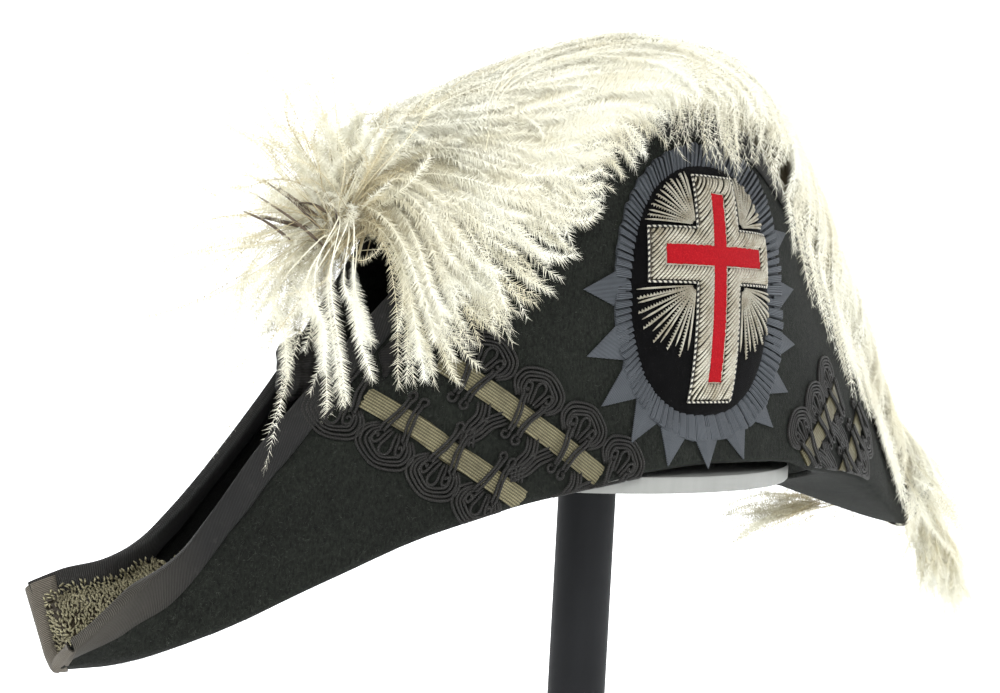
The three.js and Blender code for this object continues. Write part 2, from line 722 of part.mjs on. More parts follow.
// One slice across the plume: down over the near wall, across the top, and down the far wall.
function plumeSlice(x, outerFace) {
  const [crest, near, far, layer] = ['crest', 'near', 'far', 'thick'].map((key) => follow(PLUME, key, x));
  const hatX = Math.min(x, HAT.rear);
  const besideWall = (z, lift) => {
    const t = (z - foldHeight(hatX)) / (topHeight(hatX) - foldHeight(hatX));
    return wallPoint(hatX, Math.max(0, t), FAR)[1] + lift;
  };
  const fringe = (side, end) =>
    steps(0, 1, 4).map((share) => {
      const z = end + (topHeight(hatX) - end) * share;
      const thick = outerFace ? layer * (0.35 + 0.65 * share) : 0;
      return [x, side * besideWall(z, PLUME_CLEAR + thick), z];
    });
  const shoulder = besideWall(topHeight(hatX), PLUME_CLEAR + (outerFace ? layer : 0));
  const spring = topHeight(hatX) + PLUME_CLEAR - 0.2;
  const rise = outerFace ? crest - spring : 1.5;
  const arch = steps(0, Math.PI, 8).map((angle) => [
    x,
    -shoulder * Math.cos(angle),
    spring + rise * Math.sin(angle) ** 0.8,
  ]);
  return [...fringe(NEAR, near), ...arch, ...fringe(FAR, far).reverse()];
}

function plumeMane() {
  const stations = [...brimStations().filter((x) => x >= PLUME[0].x), PLUME.at(-1).x];
  return sheet(
    stations.map((x) => plumeSlice(x, true)),
    stations.map((x) => plumeSlice(x, false)),
  );
}

// A tuft of barbs, as upright ovals along X.
function tuft(rows) {
  const rings = rows.map(({ x, z, halfWidth, halfHeight }) =>
    steps(0, 2 * Math.PI, 14)
      .slice(0, -1)
      .map((angle) => [x, halfWidth * Math.cos(angle), z + halfHeight * Math.sin(angle)]),
  );
  return loft(rings);
}

// A bare quill end, as a thin tapered rod.
function quill(from, to) {
  const start = new THREE.Vector3(...from);
  const end = new THREE.Vector3(...to);
  const geometry = new THREE.CylinderGeometry(0.6, 1, start.distanceTo(end), 8);
  geometry.translate(0, start.distanceTo(end) / 2, 0);
  const turn = new THREE.Quaternion().setFromUnitVectors(
    new THREE.Vector3(0, 1, 0),
    end.clone().sub(start).normalize(),
  );
  geometry.applyQuaternion(turn);
  geometry.translate(...from);
  return geometry;
}

// The knot across the trough in front of the plume, as a creased egg.
function ribbonKnot() {
  const { x, y, z, halfLength, halfWidth, halfHeight, creases } = KNOT;
  const ring = (share) =>
    steps(0, 2 * Math.PI, 16)
      .slice(0, -1)
      .map((angle) => {
        const crease = 1 + 0.1 * Math.sin(creases * angle + 5 * share);
        const radius = Math.sin(Math.PI * share) * crease;
        return [
          x + halfLength * radius * Math.cos(angle),
          y + halfWidth * radius * Math.sin(angle),
          z - halfHeight * Math.cos(Math.PI * share),
        ];
      });
  return loft(steps(0.14, 0.86, 6).map(ring), { start: [x, y, z - halfHeight], end: [x, y, z + halfHeight] });
}

// Ribbon gathered in folds on the near wall under the front of the plume.
function ribbonFolds() {
  const { from, to, upper, lower, thickness, fold } = FOLDS;
  const face = (lift) =>
    steps(from, to, 6).map((x) =>
      steps(upper, lower, 3).map((drop, k) => onWall(x, topHeight(x) - drop, lift * (1 + fold * (k % 2)))),
    );
  return sheet(face(thickness), face(GAP));
}

// ---------------------------------------------------------------- stand

function standBase() {
  const { baseRadius: r, baseThickness: t, baseEdge: e } = STAND;
  const corner = steps(0, Math.PI / 2, 4).map(
    (angle) => new THREE.Vector2(r - e + e * Math.cos(angle), t - e + e * Math.sin(angle)),
  );
  const profile = [new THREE.Vector2(0, 0), new THREE.Vector2(r, 0), ...corner, new THREE.Vector2(0, t)];
  return new THREE.LatheGeometry(profile, 48).rotateX(Math.PI / 2);
}

function standPost() {
  const length = STAND.height - STAND.plateThickness - STAND.baseThickness - 2 * GAP;
  const geometry = new THREE.CylinderGeometry(STAND.postRadius, STAND.postRadius, length, 32);
  return geometry.rotateX(Math.PI / 2).translate(0, 0, STAND.baseThickness + GAP + length / 2);
}

function standPlate() {
  const geometry = new THREE.CylinderGeometry(1, 1, STAND.plateThickness, 56);
  geometry.rotateX(Math.PI / 2);
  geometry.scale(STAND.plateLength / 2, STAND.plateWidth / 2, 1);
  return geometry.translate(0, 0, -STAND.plateThickness / 2);
}

// ---------------------------------------------------------------- materials and assembly

const material = (color, roughness, metalness = 0) =>
  new THREE.MeshStandardMaterial({ color, roughness, metalness });

const felt = () => material('#23282a', 0.9);
const ribbon = () => material('#2b2c30', 0.7);
const slateRibbon = () => material('#4b525c', 0.75);
const velvet = () => material('#0b0c10', 0.95);
const silver = () => material('#c9c4b4', 0.4, 0.7);
const red = () => material('#c01828', 0.85);
const lace = () => material('#8a7d5c', 0.5, 0.5);
const cord = () => material('#17181a', 0.6);
const feather = () => material('#f2eddc', 0.9);
const quillHorn = () => material('#4a4038', 0.6);
const bullion = () => material('#6f684c', 0.5, 0.5);

function piece(name, geometry, finish) {
  const mesh = new THREE.Mesh(geometry, finish);
  mesh.name = name;
  return mesh;
}

const hat = new THREE.Group();
hat.position.z = STAND.height;

hat.add(piece('felt_brim', feltBrim(), felt()));
hat.add(piece('felt_crown', feltCrown(), felt()));
hat.add(piece('edge_binding_near', edgeBinding(NEAR), ribbon()));
hat.add(piece('edge_binding_far', edgeBinding(FAR), ribbon()));
for (const [name, end] of [['front', -1], ['rear', 1]]) {
  hat.add(piece(`tip_binding_${name}`, tipBinding(end), ribbon()));
  hat.add(piece(`tip_bullion_${name}`, tipBullion(end), bullion()));
}

hat.add(piece('ribbon_points', ribbonPoints(), slateRibbon()));
hat.add(piece('pleated_ribbon', pleatedRibbon(), slateRibbon()));
hat.add(piece('velvet_pad', velvetPad(), velvet()));
hat.add(piece('silver_cross', silverCross(), silver()));
hat.add(piece('red_inlay', redInlay(), red()));
for (const [name, sideways, upwards] of [
  ['upper_front', -1, 1],
  ['upper_rear', 1, 1],
  ['lower_front', -1, -1],
  ['lower_rear', 1, -1],
]) {
  hat.add(piece(`rays_${name}`, rayFan(sideways, upwards), silver()));
}

for (const group of BRAID_GROUPS) {
  LACE_BANDS.forEach((band, index) => {
    hat.add(piece(`lace_${group.name}_${index + 1}`, laceBand(group, band), lace()));
  });
  BRAID_ROWS.forEach((row, index) => {
    hat.add(piece(`braid_${group.name}_${index + 1}`, braidRow(group, row), cord()));
  });
}

hat.add(piece('plume_mane', plumeMane(), feather()));
hat.add(piece('plume_front', tuft(FRONT_TUFT), feather()));
hat.add(piece('plume_tail', tuft(TAIL_TUFT), feather()));
for (const { name, from, to } of QUILLS) {
  hat.add(piece(name, quill(from, to), quillHorn()));
}
hat.add(piece('ribbon_knot', ribbonKnot(), ribbon()));
hat.add(piece('ribbon_folds', ribbonFolds(), ribbon()));

hat.add(piece('stand_plate', standPlate(), material('#d9dadb', 0.5)));

const assembly = new THREE.Group();
assembly.add(hat);
assembly.add(piece('stand_post', standPost(), material('#34373a', 0.45)));
assembly.add(piece('stand_base', standBase(), material('#34373a', 0.45)));

export default assembly;
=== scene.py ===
"""The looks of a plumed dress bicorne that rests on a plain post stand.

Lengths are in millimetres until add_mesh turns them into metres; only the camera, the lights and the
backdrop are in metres from the start. The hat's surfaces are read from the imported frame: the felt's
walls from felt_brim and the plume's outer form from plume_mane.
"""

import math

import bmesh
import bpy
import numpy as np
from mathutils import Matrix, Vector
from mathutils.bvhtree import BVHTree


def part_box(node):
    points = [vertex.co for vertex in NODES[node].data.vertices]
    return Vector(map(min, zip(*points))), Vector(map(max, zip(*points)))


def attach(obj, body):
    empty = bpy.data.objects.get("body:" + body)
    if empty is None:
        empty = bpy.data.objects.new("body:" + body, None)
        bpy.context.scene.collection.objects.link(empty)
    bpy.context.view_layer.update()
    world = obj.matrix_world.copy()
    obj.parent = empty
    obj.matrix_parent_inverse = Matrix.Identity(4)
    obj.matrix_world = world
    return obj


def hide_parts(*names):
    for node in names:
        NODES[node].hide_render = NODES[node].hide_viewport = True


MM = 0.001
NEAR, FAR = -1, 1  # the badge is on the near wall
SIDES = {NEAR: "near", FAR: "far"}
FELT_THICK = 2.0
RIBBON_THICK = 0.6
RIBBON_WIDTH = 12.0  # on each side of the brim's edge
CORD_RADIUS = 0.6
STRAND_RADIUS = 0.54
COIL_RADIUS = 0.43
STUB_RADIUS = 0.75
HAIR_HALF = 0.055  # half a hair's width at its root

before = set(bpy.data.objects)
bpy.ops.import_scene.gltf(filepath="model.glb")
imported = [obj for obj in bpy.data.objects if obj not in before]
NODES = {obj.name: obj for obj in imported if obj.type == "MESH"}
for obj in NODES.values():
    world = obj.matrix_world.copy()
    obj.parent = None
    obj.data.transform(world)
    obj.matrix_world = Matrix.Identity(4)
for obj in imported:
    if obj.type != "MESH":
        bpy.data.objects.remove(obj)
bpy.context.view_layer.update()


# ---- camera and light

CAMERA_PLACE = Vector((-0.4636, -0.5235, 0.3008))
CAMERA_FORWARD = Vector((0.6167, 0.7864, -0.0360)).normalized()
CAMERA_ROLL = math.radians(3.03)
CAMERA_LENS = 57.15  # millimetres, on a sensor 36 mm wide
LIGHTS_AIM = Vector((0, 0, 0.28))
LIGHTS = {  # place, size and power
    "key": ((-1.1, -1.5, 1.5), 0.9, 24),
    "fill": ((1.5, -1.2, 0.7), 1.6, 5),
    "top": ((0.1, 0.3, 1.9), 1.2, 10),
    "back": ((0.7, 1.6, 1.0), 1.4, 7),
}
COOL_WHITE = (0.98, 0.99, 1, 1)


def linked(name, data):
    """A new object in the scene's collection."""
    made = bpy.data.objects.new(name, data)
    bpy.context.scene.collection.objects.link(made)
    return made


def add_camera():
    level = CAMERA_FORWARD.cross(Vector((0, 0, 1))).normalized()
    upright = level.cross(CAMERA_FORWARD)
    across = math.cos(CAMERA_ROLL) * level + math.sin(CAMERA_ROLL) * upright
    up = -math.sin(CAMERA_ROLL) * level + math.cos(CAMERA_ROLL) * upright
    data = bpy.data.cameras.new("camera")
    data.sensor_width = 36
    data.lens = CAMERA_LENS
    data.clip_end = 30
    camera = linked("camera", data)
    turn = Matrix((across, up, -CAMERA_FORWARD)).transposed().to_4x4()
    camera.matrix_world = Matrix.Translation(CAMERA_PLACE) @ turn
    bpy.context.scene.camera = camera


def add_lights():
    for name, (place, size, power) in LIGHTS.items():
        data = bpy.data.lights.new(name, "AREA")
        data.shape = "DISK"
        data.size = size
        data.energy = power
        light = linked(name, data)
        light.location = place
        light.rotation_euler = (LIGHTS_AIM - Vector(place)).to_track_quat("-Z", "Y").to_euler()
    world = bpy.data.worlds.new("studio")
    world.use_nodes = True
    background = world.node_tree.nodes["Background"]
    background.inputs["Color"].default_value = COOL_WHITE
    background.inputs["Strength"].default_value = 0.3
    bpy.context.scene.world = world
    bpy.context.scene.view_settings.view_transform = "Standard"


# ---- materials


def colour_of(value):
    """A colour with alpha, from three numbers or from one for a grey."""
    return (*(value if isinstance(value, tuple) else (value,) * 3), 1)


class Finish:
    """A procedural material. Textures use the frame's metres, or a piece's own UV in metres."""

    def __init__(self, name, roughness, metallic=0.0, sheen=0.0, specular=0.5):
        self.name = name
        self.material = bpy.data.materials.new(name)
        self.material.use_nodes = True
        self.tree = self.material.node_tree
        self.shader = self.tree.nodes["Principled BSDF"]
        self.shader.inputs["Roughness"].default_value = roughness
        self.shader.inputs["Metallic"].default_value = metallic
        self.shader.inputs["Sheen Weight"].default_value = sheen
        self.shader.inputs["Specular IOR Level"].default_value = specular
        self.place = self.add("TexCoord").outputs["Object"]

    def add(self, kind, links=None, **settings):
        node = self.tree.nodes.new("ShaderNode" + kind)
        for key, value in settings.items():
            setattr(node, key, value)
        for key, value in (links or {}).items():
            if isinstance(value, bpy.types.NodeSocket):
                self.tree.links.new(value, node.inputs[key])
            else:
                node.inputs[key].default_value = value
        return node

    def scaled(self, vector, x, y, z=1):
        return self.add("Mapping", {"Vector": vector, "Scale": (x, y, z)}).outputs[0]

    def uv(self, along=1.0, across=1.0):
        return self.scaled(self.add("UVMap", uv_map="UVMap").outputs[0], along, across)

    def noise(self, size, detail=3.0, vector=None, roughness=0.55):
        """Noise with features of about `size` millimetres."""
        links = {
            "Vector": self.place if vector is None else vector,
            "Scale": 1 / (size * MM),
            "Detail": detail,
            "Roughness": roughness,
        }
        return self.add("TexNoise", links).outputs["Fac"]

    def specks(self, size, detail, roughness, low, high, most=1, vector=None):
        """Patches of noise: 0 where it is under `low`, rising to `most` at `high`."""
        return self.ramp(self.noise(size, detail, vector, roughness), (low, 0), (high, most))

    def bands(self, period, vector, direction="X", distortion=0.0):
        """Even bands, one every `period` millimetres."""
        links = {
            "Vector": vector,
            "Scale": 2 * math.pi / 20 / (period * MM),
            "Distortion": distortion,
            "Detail": 0.0,
            "Detail Scale": 1.5,
        }
        return self.add("TexWave", links, bands_direction=direction).outputs["Fac"]

    def ramp(self, factor, *stops):
        node = self.add("ValToRGB", {"Fac": factor})
        while len(node.color_ramp.elements) < len(stops):
            node.color_ramp.elements.new(0.5)
        for element, (position, colour) in zip(node.color_ramp.elements, stops):
            element.position = position
            element.color = colour_of(colour)
        return node.outputs["Color"]

    def mix(self, factor, a, b, blend="MIX"):
        def given(value):
            return value if isinstance(value, bpy.types.NodeSocket) else colour_of(value)

        node = self.add("Mix", data_type="RGBA", blend_type=blend)
        for index, value in ((0, factor), (6, given(a)), (7, given(b))):
            if isinstance(value, bpy.types.NodeSocket):
                self.tree.links.new(value, node.inputs[index])
            else:
                node.inputs[index].default_value = value
        return node.outputs[2]

    def times(self, a, b):
        return self.mix(1.0, a, b, "MULTIPLY")

    def colour(self, output):
        self.tree.links.new(output, self.shader.inputs["Base Color"])
        return self

    def rough(self, factor, low, high):
        spread = self.add("MapRange", {"Value": factor, "To Min": low, "To Max": high})
        self.tree.links.new(spread.outputs[0], self.shader.inputs["Roughness"])
        return self

    def bump(self, *heights):
        """Bumps, each as (height, depth in millimetres)."""
        normal = None
        for height, depth in heights:
            links = {"Height": height, "Distance": depth * MM, "Strength": 1.0}
            if normal is not None:
                links["Normal"] = normal
            normal = self.add("Bump", links).outputs["Normal"]
        self.tree.links.new(normal, self.shader.inputs["Normal"])
        return self


def felt_finish():
    """Worn black fur felt, a little green-grey, with pale lint and a directional nap."""
    finish = Finish("black_felt", 0.92, sheen=0.03, specular=0.1)
    nap = finish.noise(0.9, 6, finish.scaled(finish.place, 1, 1, 0.45), 0.7)
    patches = finish.noise(38, 3)
    worn = finish.mix(patches, (0.0034, 0.0038, 0.0032), (0.0088, 0.0100, 0.0082))
    base = finish.times(worn, finish.ramp(nap, (0.33, (0.25, 0.27, 0.26)), (0.7, (2.3, 2.35, 2.2))))
    lint = finish.specks(1.5, 5, 0.8, 0.62, 0.76, vector=finish.scaled(finish.place, 1, 1, 2.2))
    finish.colour(finish.mix(lint, base, (0.085, 0.09, 0.08)))
    return finish.bump((patches, 1.4), (finish.noise(3.2, 4), 0.35), (nap, 0.35))


def worn_tips(finish, base, ribs):
    """Fades ribbon to brown-grey where it is worn through, towards both tips of the near side."""
    axes = finish.add("SeparateXYZ", {"Vector": finish.place}).outputs
    out = finish.add("Math", {0: axes["X"]}, operation="ABSOLUTE").outputs[0]
    near = finish.ramp(axes["Y"], (0.0, 1), (0.002, 0.2))
    share = finish.times(finish.ramp(out, (0.195, 0), (0.245, 0.85)), near)
    # the worn brown is also darker in the rib furrows and lighter on the crests: painted shade and painted
    # highlight
    brown = finish.ramp(ribs, (0.2, (0.022, 0.019, 0.015)), (0.75, (0.085, 0.078, 0.064)))
    return finish.mix(share, base, brown)


def ribbon_finish(name, dark, light, rib=0.6, worn=(0.05, 0.048, 0.044), axis="X", tips=False):
    """Ribbed silk ribbon: ribs run across it, one every `rib` millimetres along it. The colour is darker in
    the ribs' furrows and lighter on their crests: painted shade and painted highlight.
    """
    finish = Finish(name, 0.75, sheen=0.02, specular=0.12)
    ribs = finish.bands(rib, finish.uv() if axis == "X" else finish.place, axis, 0.15)
    cloudy = finish.noise(14, 4)
    # painted shade in the rib furrows and painted highlight on the rib crests
    groove_shade_and_highlight = finish.ramp(ribs, (0.15, 0.4), (0.75, (1.7, 1.7, 1.68)))
    base = finish.times(finish.mix(cloudy, dark, light), groove_shade_and_highlight)
    base = finish.mix(finish.specks(6, 6, 0.75, 0.58, 0.75, 0.5), base, worn)
    finish.colour(worn_tips(finish, base, ribs) if tips else base)
    return finish.rough(cloudy, 0.48, 0.75).bump((cloudy, 0.6), (ribs, 0.12))


def velvet_finish():
    finish = Finish("black_velvet", 0.95, sheen=0.02, specular=0.03)
    pile = finish.noise(0.5, 3, roughness=0.8)
    shading = finish.noise(9, 3)
    base = finish.mix(shading, (0.0014, 0.0014, 0.0015), (0.0036, 0.0036, 0.0038))
    finish.colour(finish.mix(finish.specks(0.9, 6, 0.85, 0.62, 0.73), base, (0.07, 0.066, 0.058)))
    return finish.bump((shading, 0.5), (pile, 0.25))


def metal_thread_finish(name, bright, dark, twist=0.45):
    """Metal thread: fine coils across each strand, tarnished in patches. The colour is darker in the grooves
    between the coils and a little lighter on them: painted shade and painted highlight.
    """
    finish = Finish(name, 0.38, metallic=0.75)
    coils = finish.bands(twist, finish.uv(), "DIAGONAL")
    tarnish = finish.specks(7, 5, 0.7, 0.35, 0.72)
    # painted shade in the grooves between coils and a little painted highlight on the coils
    groove_shade_and_highlight = finish.ramp(coils, (0.0, (0.5, 0.48, 0.42)), (0.55, 1.1))
    finish.colour(finish.times(finish.mix(tarnish, bright, dark), groove_shade_and_highlight))
    return finish.rough(tarnish, 0.3, 0.55).bump((coils, 0.12))


def purl_finish():
    """A cord of black silk and silver twisted together."""
    finish = Finish("purl_cord", 0.4, metallic=0.3)
    turns = finish.bands(1.15, finish.uv(1, 0.5), "DIAGONAL")
    finish.colour(finish.ramp(turns, (0.42, 0.012), (0.55, (0.46, 0.44, 0.37))))
    return finish.bump((turns, 0.3))


def fuzz_finish():
    finish = Finish("black_fuzz", 0.85, sheen=0.06, specular=0.1)
    patches = finish.noise(2.5, 2)
    return finish.colour(finish.ramp(patches, (0.4, (0.006, 0.007, 0.006)), (0.8, (0.055, 0.06, 0.05))))


def cord_finish():
    """Wound silk cord: the winding slants round it. The colour is darker in the winding's grooves and lighter
    on its turns: painted shade and painted highlight.
    """
    finish = Finish("black_cord", 0.55, sheen=0.02, specular=0.22)
    winding = finish.bands(0.5, finish.uv(1, 0.6), "DIAGONAL")
    base = finish.mix(finish.noise(11, 4), (0.0038, 0.0036, 0.0032), (0.0145, 0.0135, 0.0112))
    # painted shade in the winding's grooves and painted highlight on its turns
    finish.colour(finish.times(base, finish.ramp(winding, (0.0, 0.55), (0.6, 1.25))))
    return finish.bump((winding, 0.12))


def feather_finish():
    """Ostrich flue: cream by the quill, white at the tips. `tone` is 0 at the root and 1 at the tip. The dark
    brown root end of the ramp is partly the feather's cream and partly painted shade for the plume's shaded
    inside.
    """
    finish = Finish("white_feather", 0.85, sheen=0.12, specular=0.12)
    tone = finish.add("Attribute", attribute_name="tone").outputs["Fac"]
    # the dark root stops are partly the real cream and partly painted shade deep in the plume
    root, low = (0.0, (0.33, 0.28, 0.17)), (0.15, (0.47, 0.41, 0.26))
    high, tip = (0.45, (0.62, 0.59, 0.44)), (0.9, (0.78, 0.775, 0.67))
    cloudy = finish.ramp(finish.noise(22, 2), (0.3, (0.93, 0.9, 0.84)), (0.7, 1))
    finish.colour(finish.times(finish.ramp(tone, root, low, high, tip), cloudy))
    return finish.bump((finish.noise(0.8, 1), 0.1))


def quill_finish():
    finish = Finish("quill_horn", 0.45)
    streaks = finish.noise(1.6, 4, finish.scaled(finish.place, 0.25, 1))
    finish.colour(finish.ramp(streaks, (0.3, (0.03, 0.022, 0.016)), (0.7, (0.12, 0.085, 0.055))))
    return finish.bump((streaks, 0.15))


def red_felt_finish():
    finish = Finish("red_felt", 0.92, sheen=0.02, specular=0.08)
    weave = finish.noise(0.7, 5, roughness=0.7)
    dark, light = (0.25, (0.17, 0.002, 0.005)), (0.8, (0.38, 0.02, 0.022))
    finish.colour(finish.ramp(weave, dark, (0.55, (0.27, 0.004, 0.008)), light))
    return finish.bump((weave, 0.3))


def lace_finish():
    """Flat metal lace: fine lines along the band, small stitches between them, tarnished."""
    finish = Finish("tarnished_lace", 0.45, metallic=0.45)
    lines = finish.bands(1.1, finish.uv(), "Y")
    picks = finish.bands(0.7, finish.uv(), "X", 0.4)
    tarnish = finish.specks(9, 5, 0.7, 0.3, 0.75)
    base = finish.mix(tarnish, (0.168, 0.152, 0.088), (0.083, 0.074, 0.042))
    base = finish.times(base, finish.ramp(lines, (0.05, (0.3, 0.28, 0.22)), (0.45, (1.15, 1.15, 1.1))))
    finish.colour(finish.times(base, finish.ramp(picks, (0.1, (0.75, 0.73, 0.7)), (0.6, 1.05))))
    return finish.rough(tarnish, 0.38, 0.6).bump((lines, 0.2), (picks, 0.1))


def painted_finish(name, dark, light, roughness, specular=0.3):
    """Painted wood or metal with faint brush marks, dust and small scuffs."""
    finish = Finish(name, roughness, specular=specular)
    marks = finish.noise(5, 5, finish.scaled(finish.place, 1, 1, 0.12))
    finish.colour(finish.mix(marks, dark, light))
    scuffs = finish.noise(2.4, 6, roughness=0.7)
    return finish.rough(scuffs, roughness - 0.08, roughness + 0.14).bump((marks, 0.05), (scuffs, 0.03))


MADE = (
    felt_finish(),
    ribbon_finish("black_ribbon", (0.006, 0.006, 0.0062), (0.016, 0.0157, 0.015), 0.75, tips=True),
    ribbon_finish("knotted_ribbon", (0.0035, 0.0033, 0.0032), (0.0105, 0.0098, 0.0088), axis="Z"),
    ribbon_finish("worn_ribbon", (0.045, 0.039, 0.031), (0.115, 0.102, 0.083), 0.7, (0.17, 0.152, 0.125)),
    ribbon_finish("slate_ribbon", (0.029, 0.0325, 0.037), (0.062, 0.068, 0.076), 0.5, (0.09, 0.095, 0.10)),
    velvet_finish(),
    metal_thread_finish("silver_bullion", (0.56, 0.54, 0.46), (0.27, 0.235, 0.165)),
    red_felt_finish(),
    lace_finish(),
    cord_finish(),
    metal_thread_finish("tarnished_bullion", (0.37, 0.345, 0.225), (0.115, 0.1, 0.063)),
    # the stuffing under the peaks' coils, dark as painted shade between them
    metal_thread_finish("coil_gap_shade", (0.07, 0.055, 0.035), (0.03, 0.022, 0.014), 0.8),
    # the stuffing under the cross's strands, dark as painted shade between them
    metal_thread_finish("strand_gap_shade", (0.055, 0.048, 0.036), (0.03, 0.026, 0.018), 0.8),
    purl_finish(),
    fuzz_finish(),
    feather_finish(),
    quill_finish(),
    painted_finish("pale_paint", (0.195, 0.199, 0.186), (0.245, 0.249, 0.234), 0.5),
    painted_finish("grey_paint", (0.0055, 0.0058, 0.0064), (0.009, 0.0095, 0.0105), 0.55, 0.12),
)
FINISHES = {finish.name: finish.material for finish in MADE}


# ---- meshes


def add_mesh(name, points, faces, finish, slot=None, replaces=(), uv=None, tone=None, smooth=True):
    """A piece that rides on the body, from points in millimetres and faces with equal corners."""
    points = np.asarray(points, dtype=np.float64).reshape(-1, 3)
    faces = np.asarray(faces, dtype=np.int32)
    mesh = bpy.data.meshes.new(name)
    mesh.vertices.add(len(points))
    mesh.vertices.foreach_set("co", (points * MM).astype(np.float32).ravel())
    mesh.loops.add(faces.size)
    mesh.loops.foreach_set("vertex_index", faces.ravel())
    mesh.polygons.add(len(faces))
    mesh.polygons.foreach_set("loop_start", np.arange(0, faces.size, faces.shape[1], dtype=np.int32))
    mesh.update(calc_edges=True)
    if uv is not None:
        layer = mesh.uv_layers.new(name="UVMap")
        corners = (np.asarray(uv).reshape(-1, 2) * MM)[faces.ravel()]
        layer.data.foreach_set("uv", corners.astype(np.float32).ravel())
    if tone is not None:
        attribute = mesh.attributes.new("tone", "FLOAT", "POINT")
        attribute.data.foreach_set("value", np.asarray(tone, dtype=np.float32).ravel())
    mesh.polygons.foreach_set("use_smooth", np.full(len(faces), smooth))
    return add_piece(name, mesh, finish, replaces)


def add_piece(name, mesh, finish, replaces):
    mesh.materials.clear()
    mesh.materials.append(FINISHES[finish])
    piece = linked(name, mesh)
    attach(piece, "root")
    if replaces:
        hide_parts(*replaces)
    return piece


def add_loops(name, grid, finish, **how):
    """A piece from rows of points, each row closed on itself."""
    return add_mesh(name, grid, grid_faces(*grid.shape[:2], closed=True), finish, **how)


def add_tubes(name, paths, radius, finish, slot=None, replaces=(), **how):
    points, faces, uv = tubes(paths, radius, **how)
    add_mesh(name, points, faces, finish, slot, replaces, uv)


def finer_copy(node, finish, cuts=1, rounding=0.0, wobble=0.0, wave=12.0, shift=(0, 0, 0)):
    """A finer, softly uneven copy of a CAD node's mesh, with smooth shading."""
    shape = bmesh.new()
    shape.from_mesh(NODES[node].data)
    bmesh.ops.remove_doubles(shape, verts=shape.verts, dist=1e-6)
    bmesh.ops.subdivide_edges(shape, edges=shape.edges, cuts=cuts, use_grid_fill=True, smooth=rounding)
    if wobble:
        shape.normal_update()
        for vertex in shape.verts:
            x, y, z = vertex.co / (wave * MM)
            swell = math.sin(x + 1.3 * math.sin(z)) * math.cos(0.9 * z + y) + 0.5 * math.sin(2.3 * x - y)
            vertex.co += vertex.normal * swell * wobble * MM + Vector(shift) * MM
    mesh = bpy.data.meshes.new(f"{node}_look")
    shape.to_mesh(mesh)
    shape.free()
    mesh.polygons.foreach_set("use_smooth", np.full(len(mesh.polygons), True))
    mesh.set_sharp_from_angle(angle=math.radians(38))
    return add_piece(f"{node}_look", mesh, finish, (node,))


def grid_faces(rows, columns, closed=False):
    """Quads of a grid of rows by columns. A closed grid joins its last column to its first."""
    last = columns if closed else columns - 1
    i, j = np.meshgrid(np.arange(rows - 1), np.arange(last), indexing="ij")
    k = (j + 1) % columns
    corners = [i * columns + j, (i + 1) * columns + j, (i + 1) * columns + k, i * columns + k]
    return np.stack(corners, axis=-1).reshape(-1, 4)


class Parts:
    """Points, faces and one more value per point, gathered into one mesh."""

    def __init__(self):
        self.points, self.faces, self.values, self.count = [], [], [], 0

    def collect(self, points, faces, values):
        self.points.append(points)
        self.faces.append(faces + self.count)
        self.values.append(values)
        self.count += len(points)

    def joined(self):
        return np.concatenate(self.points), np.concatenate(self.faces), np.concatenate(self.values)


def unit(vectors):
    return vectors / np.maximum(np.linalg.norm(vectors, axis=-1, keepdims=True), 1e-9)


def floats(*values):
    return [np.asarray(value, dtype=float) for value in values]


def walked(line):
    """How far along a line each of its points lies."""
    return np.concatenate([[0], np.cumsum(np.linalg.norm(np.diff(line, axis=0), axis=1))])


def uv_grid(walk, across):
    return np.stack(np.broadcast_arrays(walk[:, None], across[None, :]), axis=-1)


def there_and_back(values):
    return np.concatenate([values, values[::-1]])


def circle(count):
    return np.arange(count) / count * 2 * math.pi


def tubes(paths, radius, sides=6, taper=0.0, normals=None):
    """Round rods along paths, nearly closed at their ends. Returns points, faces and UV."""
    parts = Parts()
    angles = circle(sides)
    for index, path in enumerate(paths):
        path = np.asarray(path, dtype=float)
        along = unit(np.gradient(path, axis=0))
        out = np.array([0.0, -1.0, 0.2]) if normals is None else normals[index]
        side = unit(np.cross(along, np.broadcast_to(out, path.shape)))
        out = np.cross(side, along)
        walk = walked(path)
        size = np.full(len(path), radius) * (1 - taper * (walk / max(walk[-1], 1e-9)))
        size[0] *= 0.35
        size[-1] *= 0.35
        ring = side[:, None] * np.cos(angles)[None, :, None] + out[:, None] * np.sin(angles)[None, :, None]
        points = (path[:, None] + ring * size[:, None, None]).reshape(-1, 3)
        uv = uv_grid(walk, angles * size.max()).reshape(-1, 2)
        parts.collect(points, grid_faces(len(path), sides, closed=True), uv)
    return parts.joined()


def curve_through(points, per_span=8):
    """A smooth line through given points."""
    points = np.asarray(points, dtype=float)
    knots = np.arange(len(points))
    fine = np.linspace(0, len(points) - 1, (len(points) - 1) * per_span + 1)
    return np.stack([Smooth(knots, points[:, k])(fine) for k in range(points.shape[1])], axis=-1)


# ---- surfaces read from the frame


class Smooth:
    """A smooth curve through values at knots, held level beyond its ends."""

    def __init__(self, knots, values):
        self.knots, self.values = floats(knots, values)
        self.slopes = np.gradient(self.values, self.knots)

    def __call__(self, x):
        x = np.clip(x, self.knots[0], self.knots[-1])
        i = np.clip(np.searchsorted(self.knots, x, side="right") - 1, 0, len(self.knots) - 2)
        width = self.knots[i + 1] - self.knots[i]
        s = (x - self.knots[i]) / width
        start = (1 + 2 * s) * (1 - s) ** 2 * self.values[i] + s * (1 - s) ** 2 * width * self.slopes[i]
        end = s * s * (3 - 2 * s) * self.values[i + 1] + s * s * (s - 1) * width * self.slopes[i + 1]
        return start + end


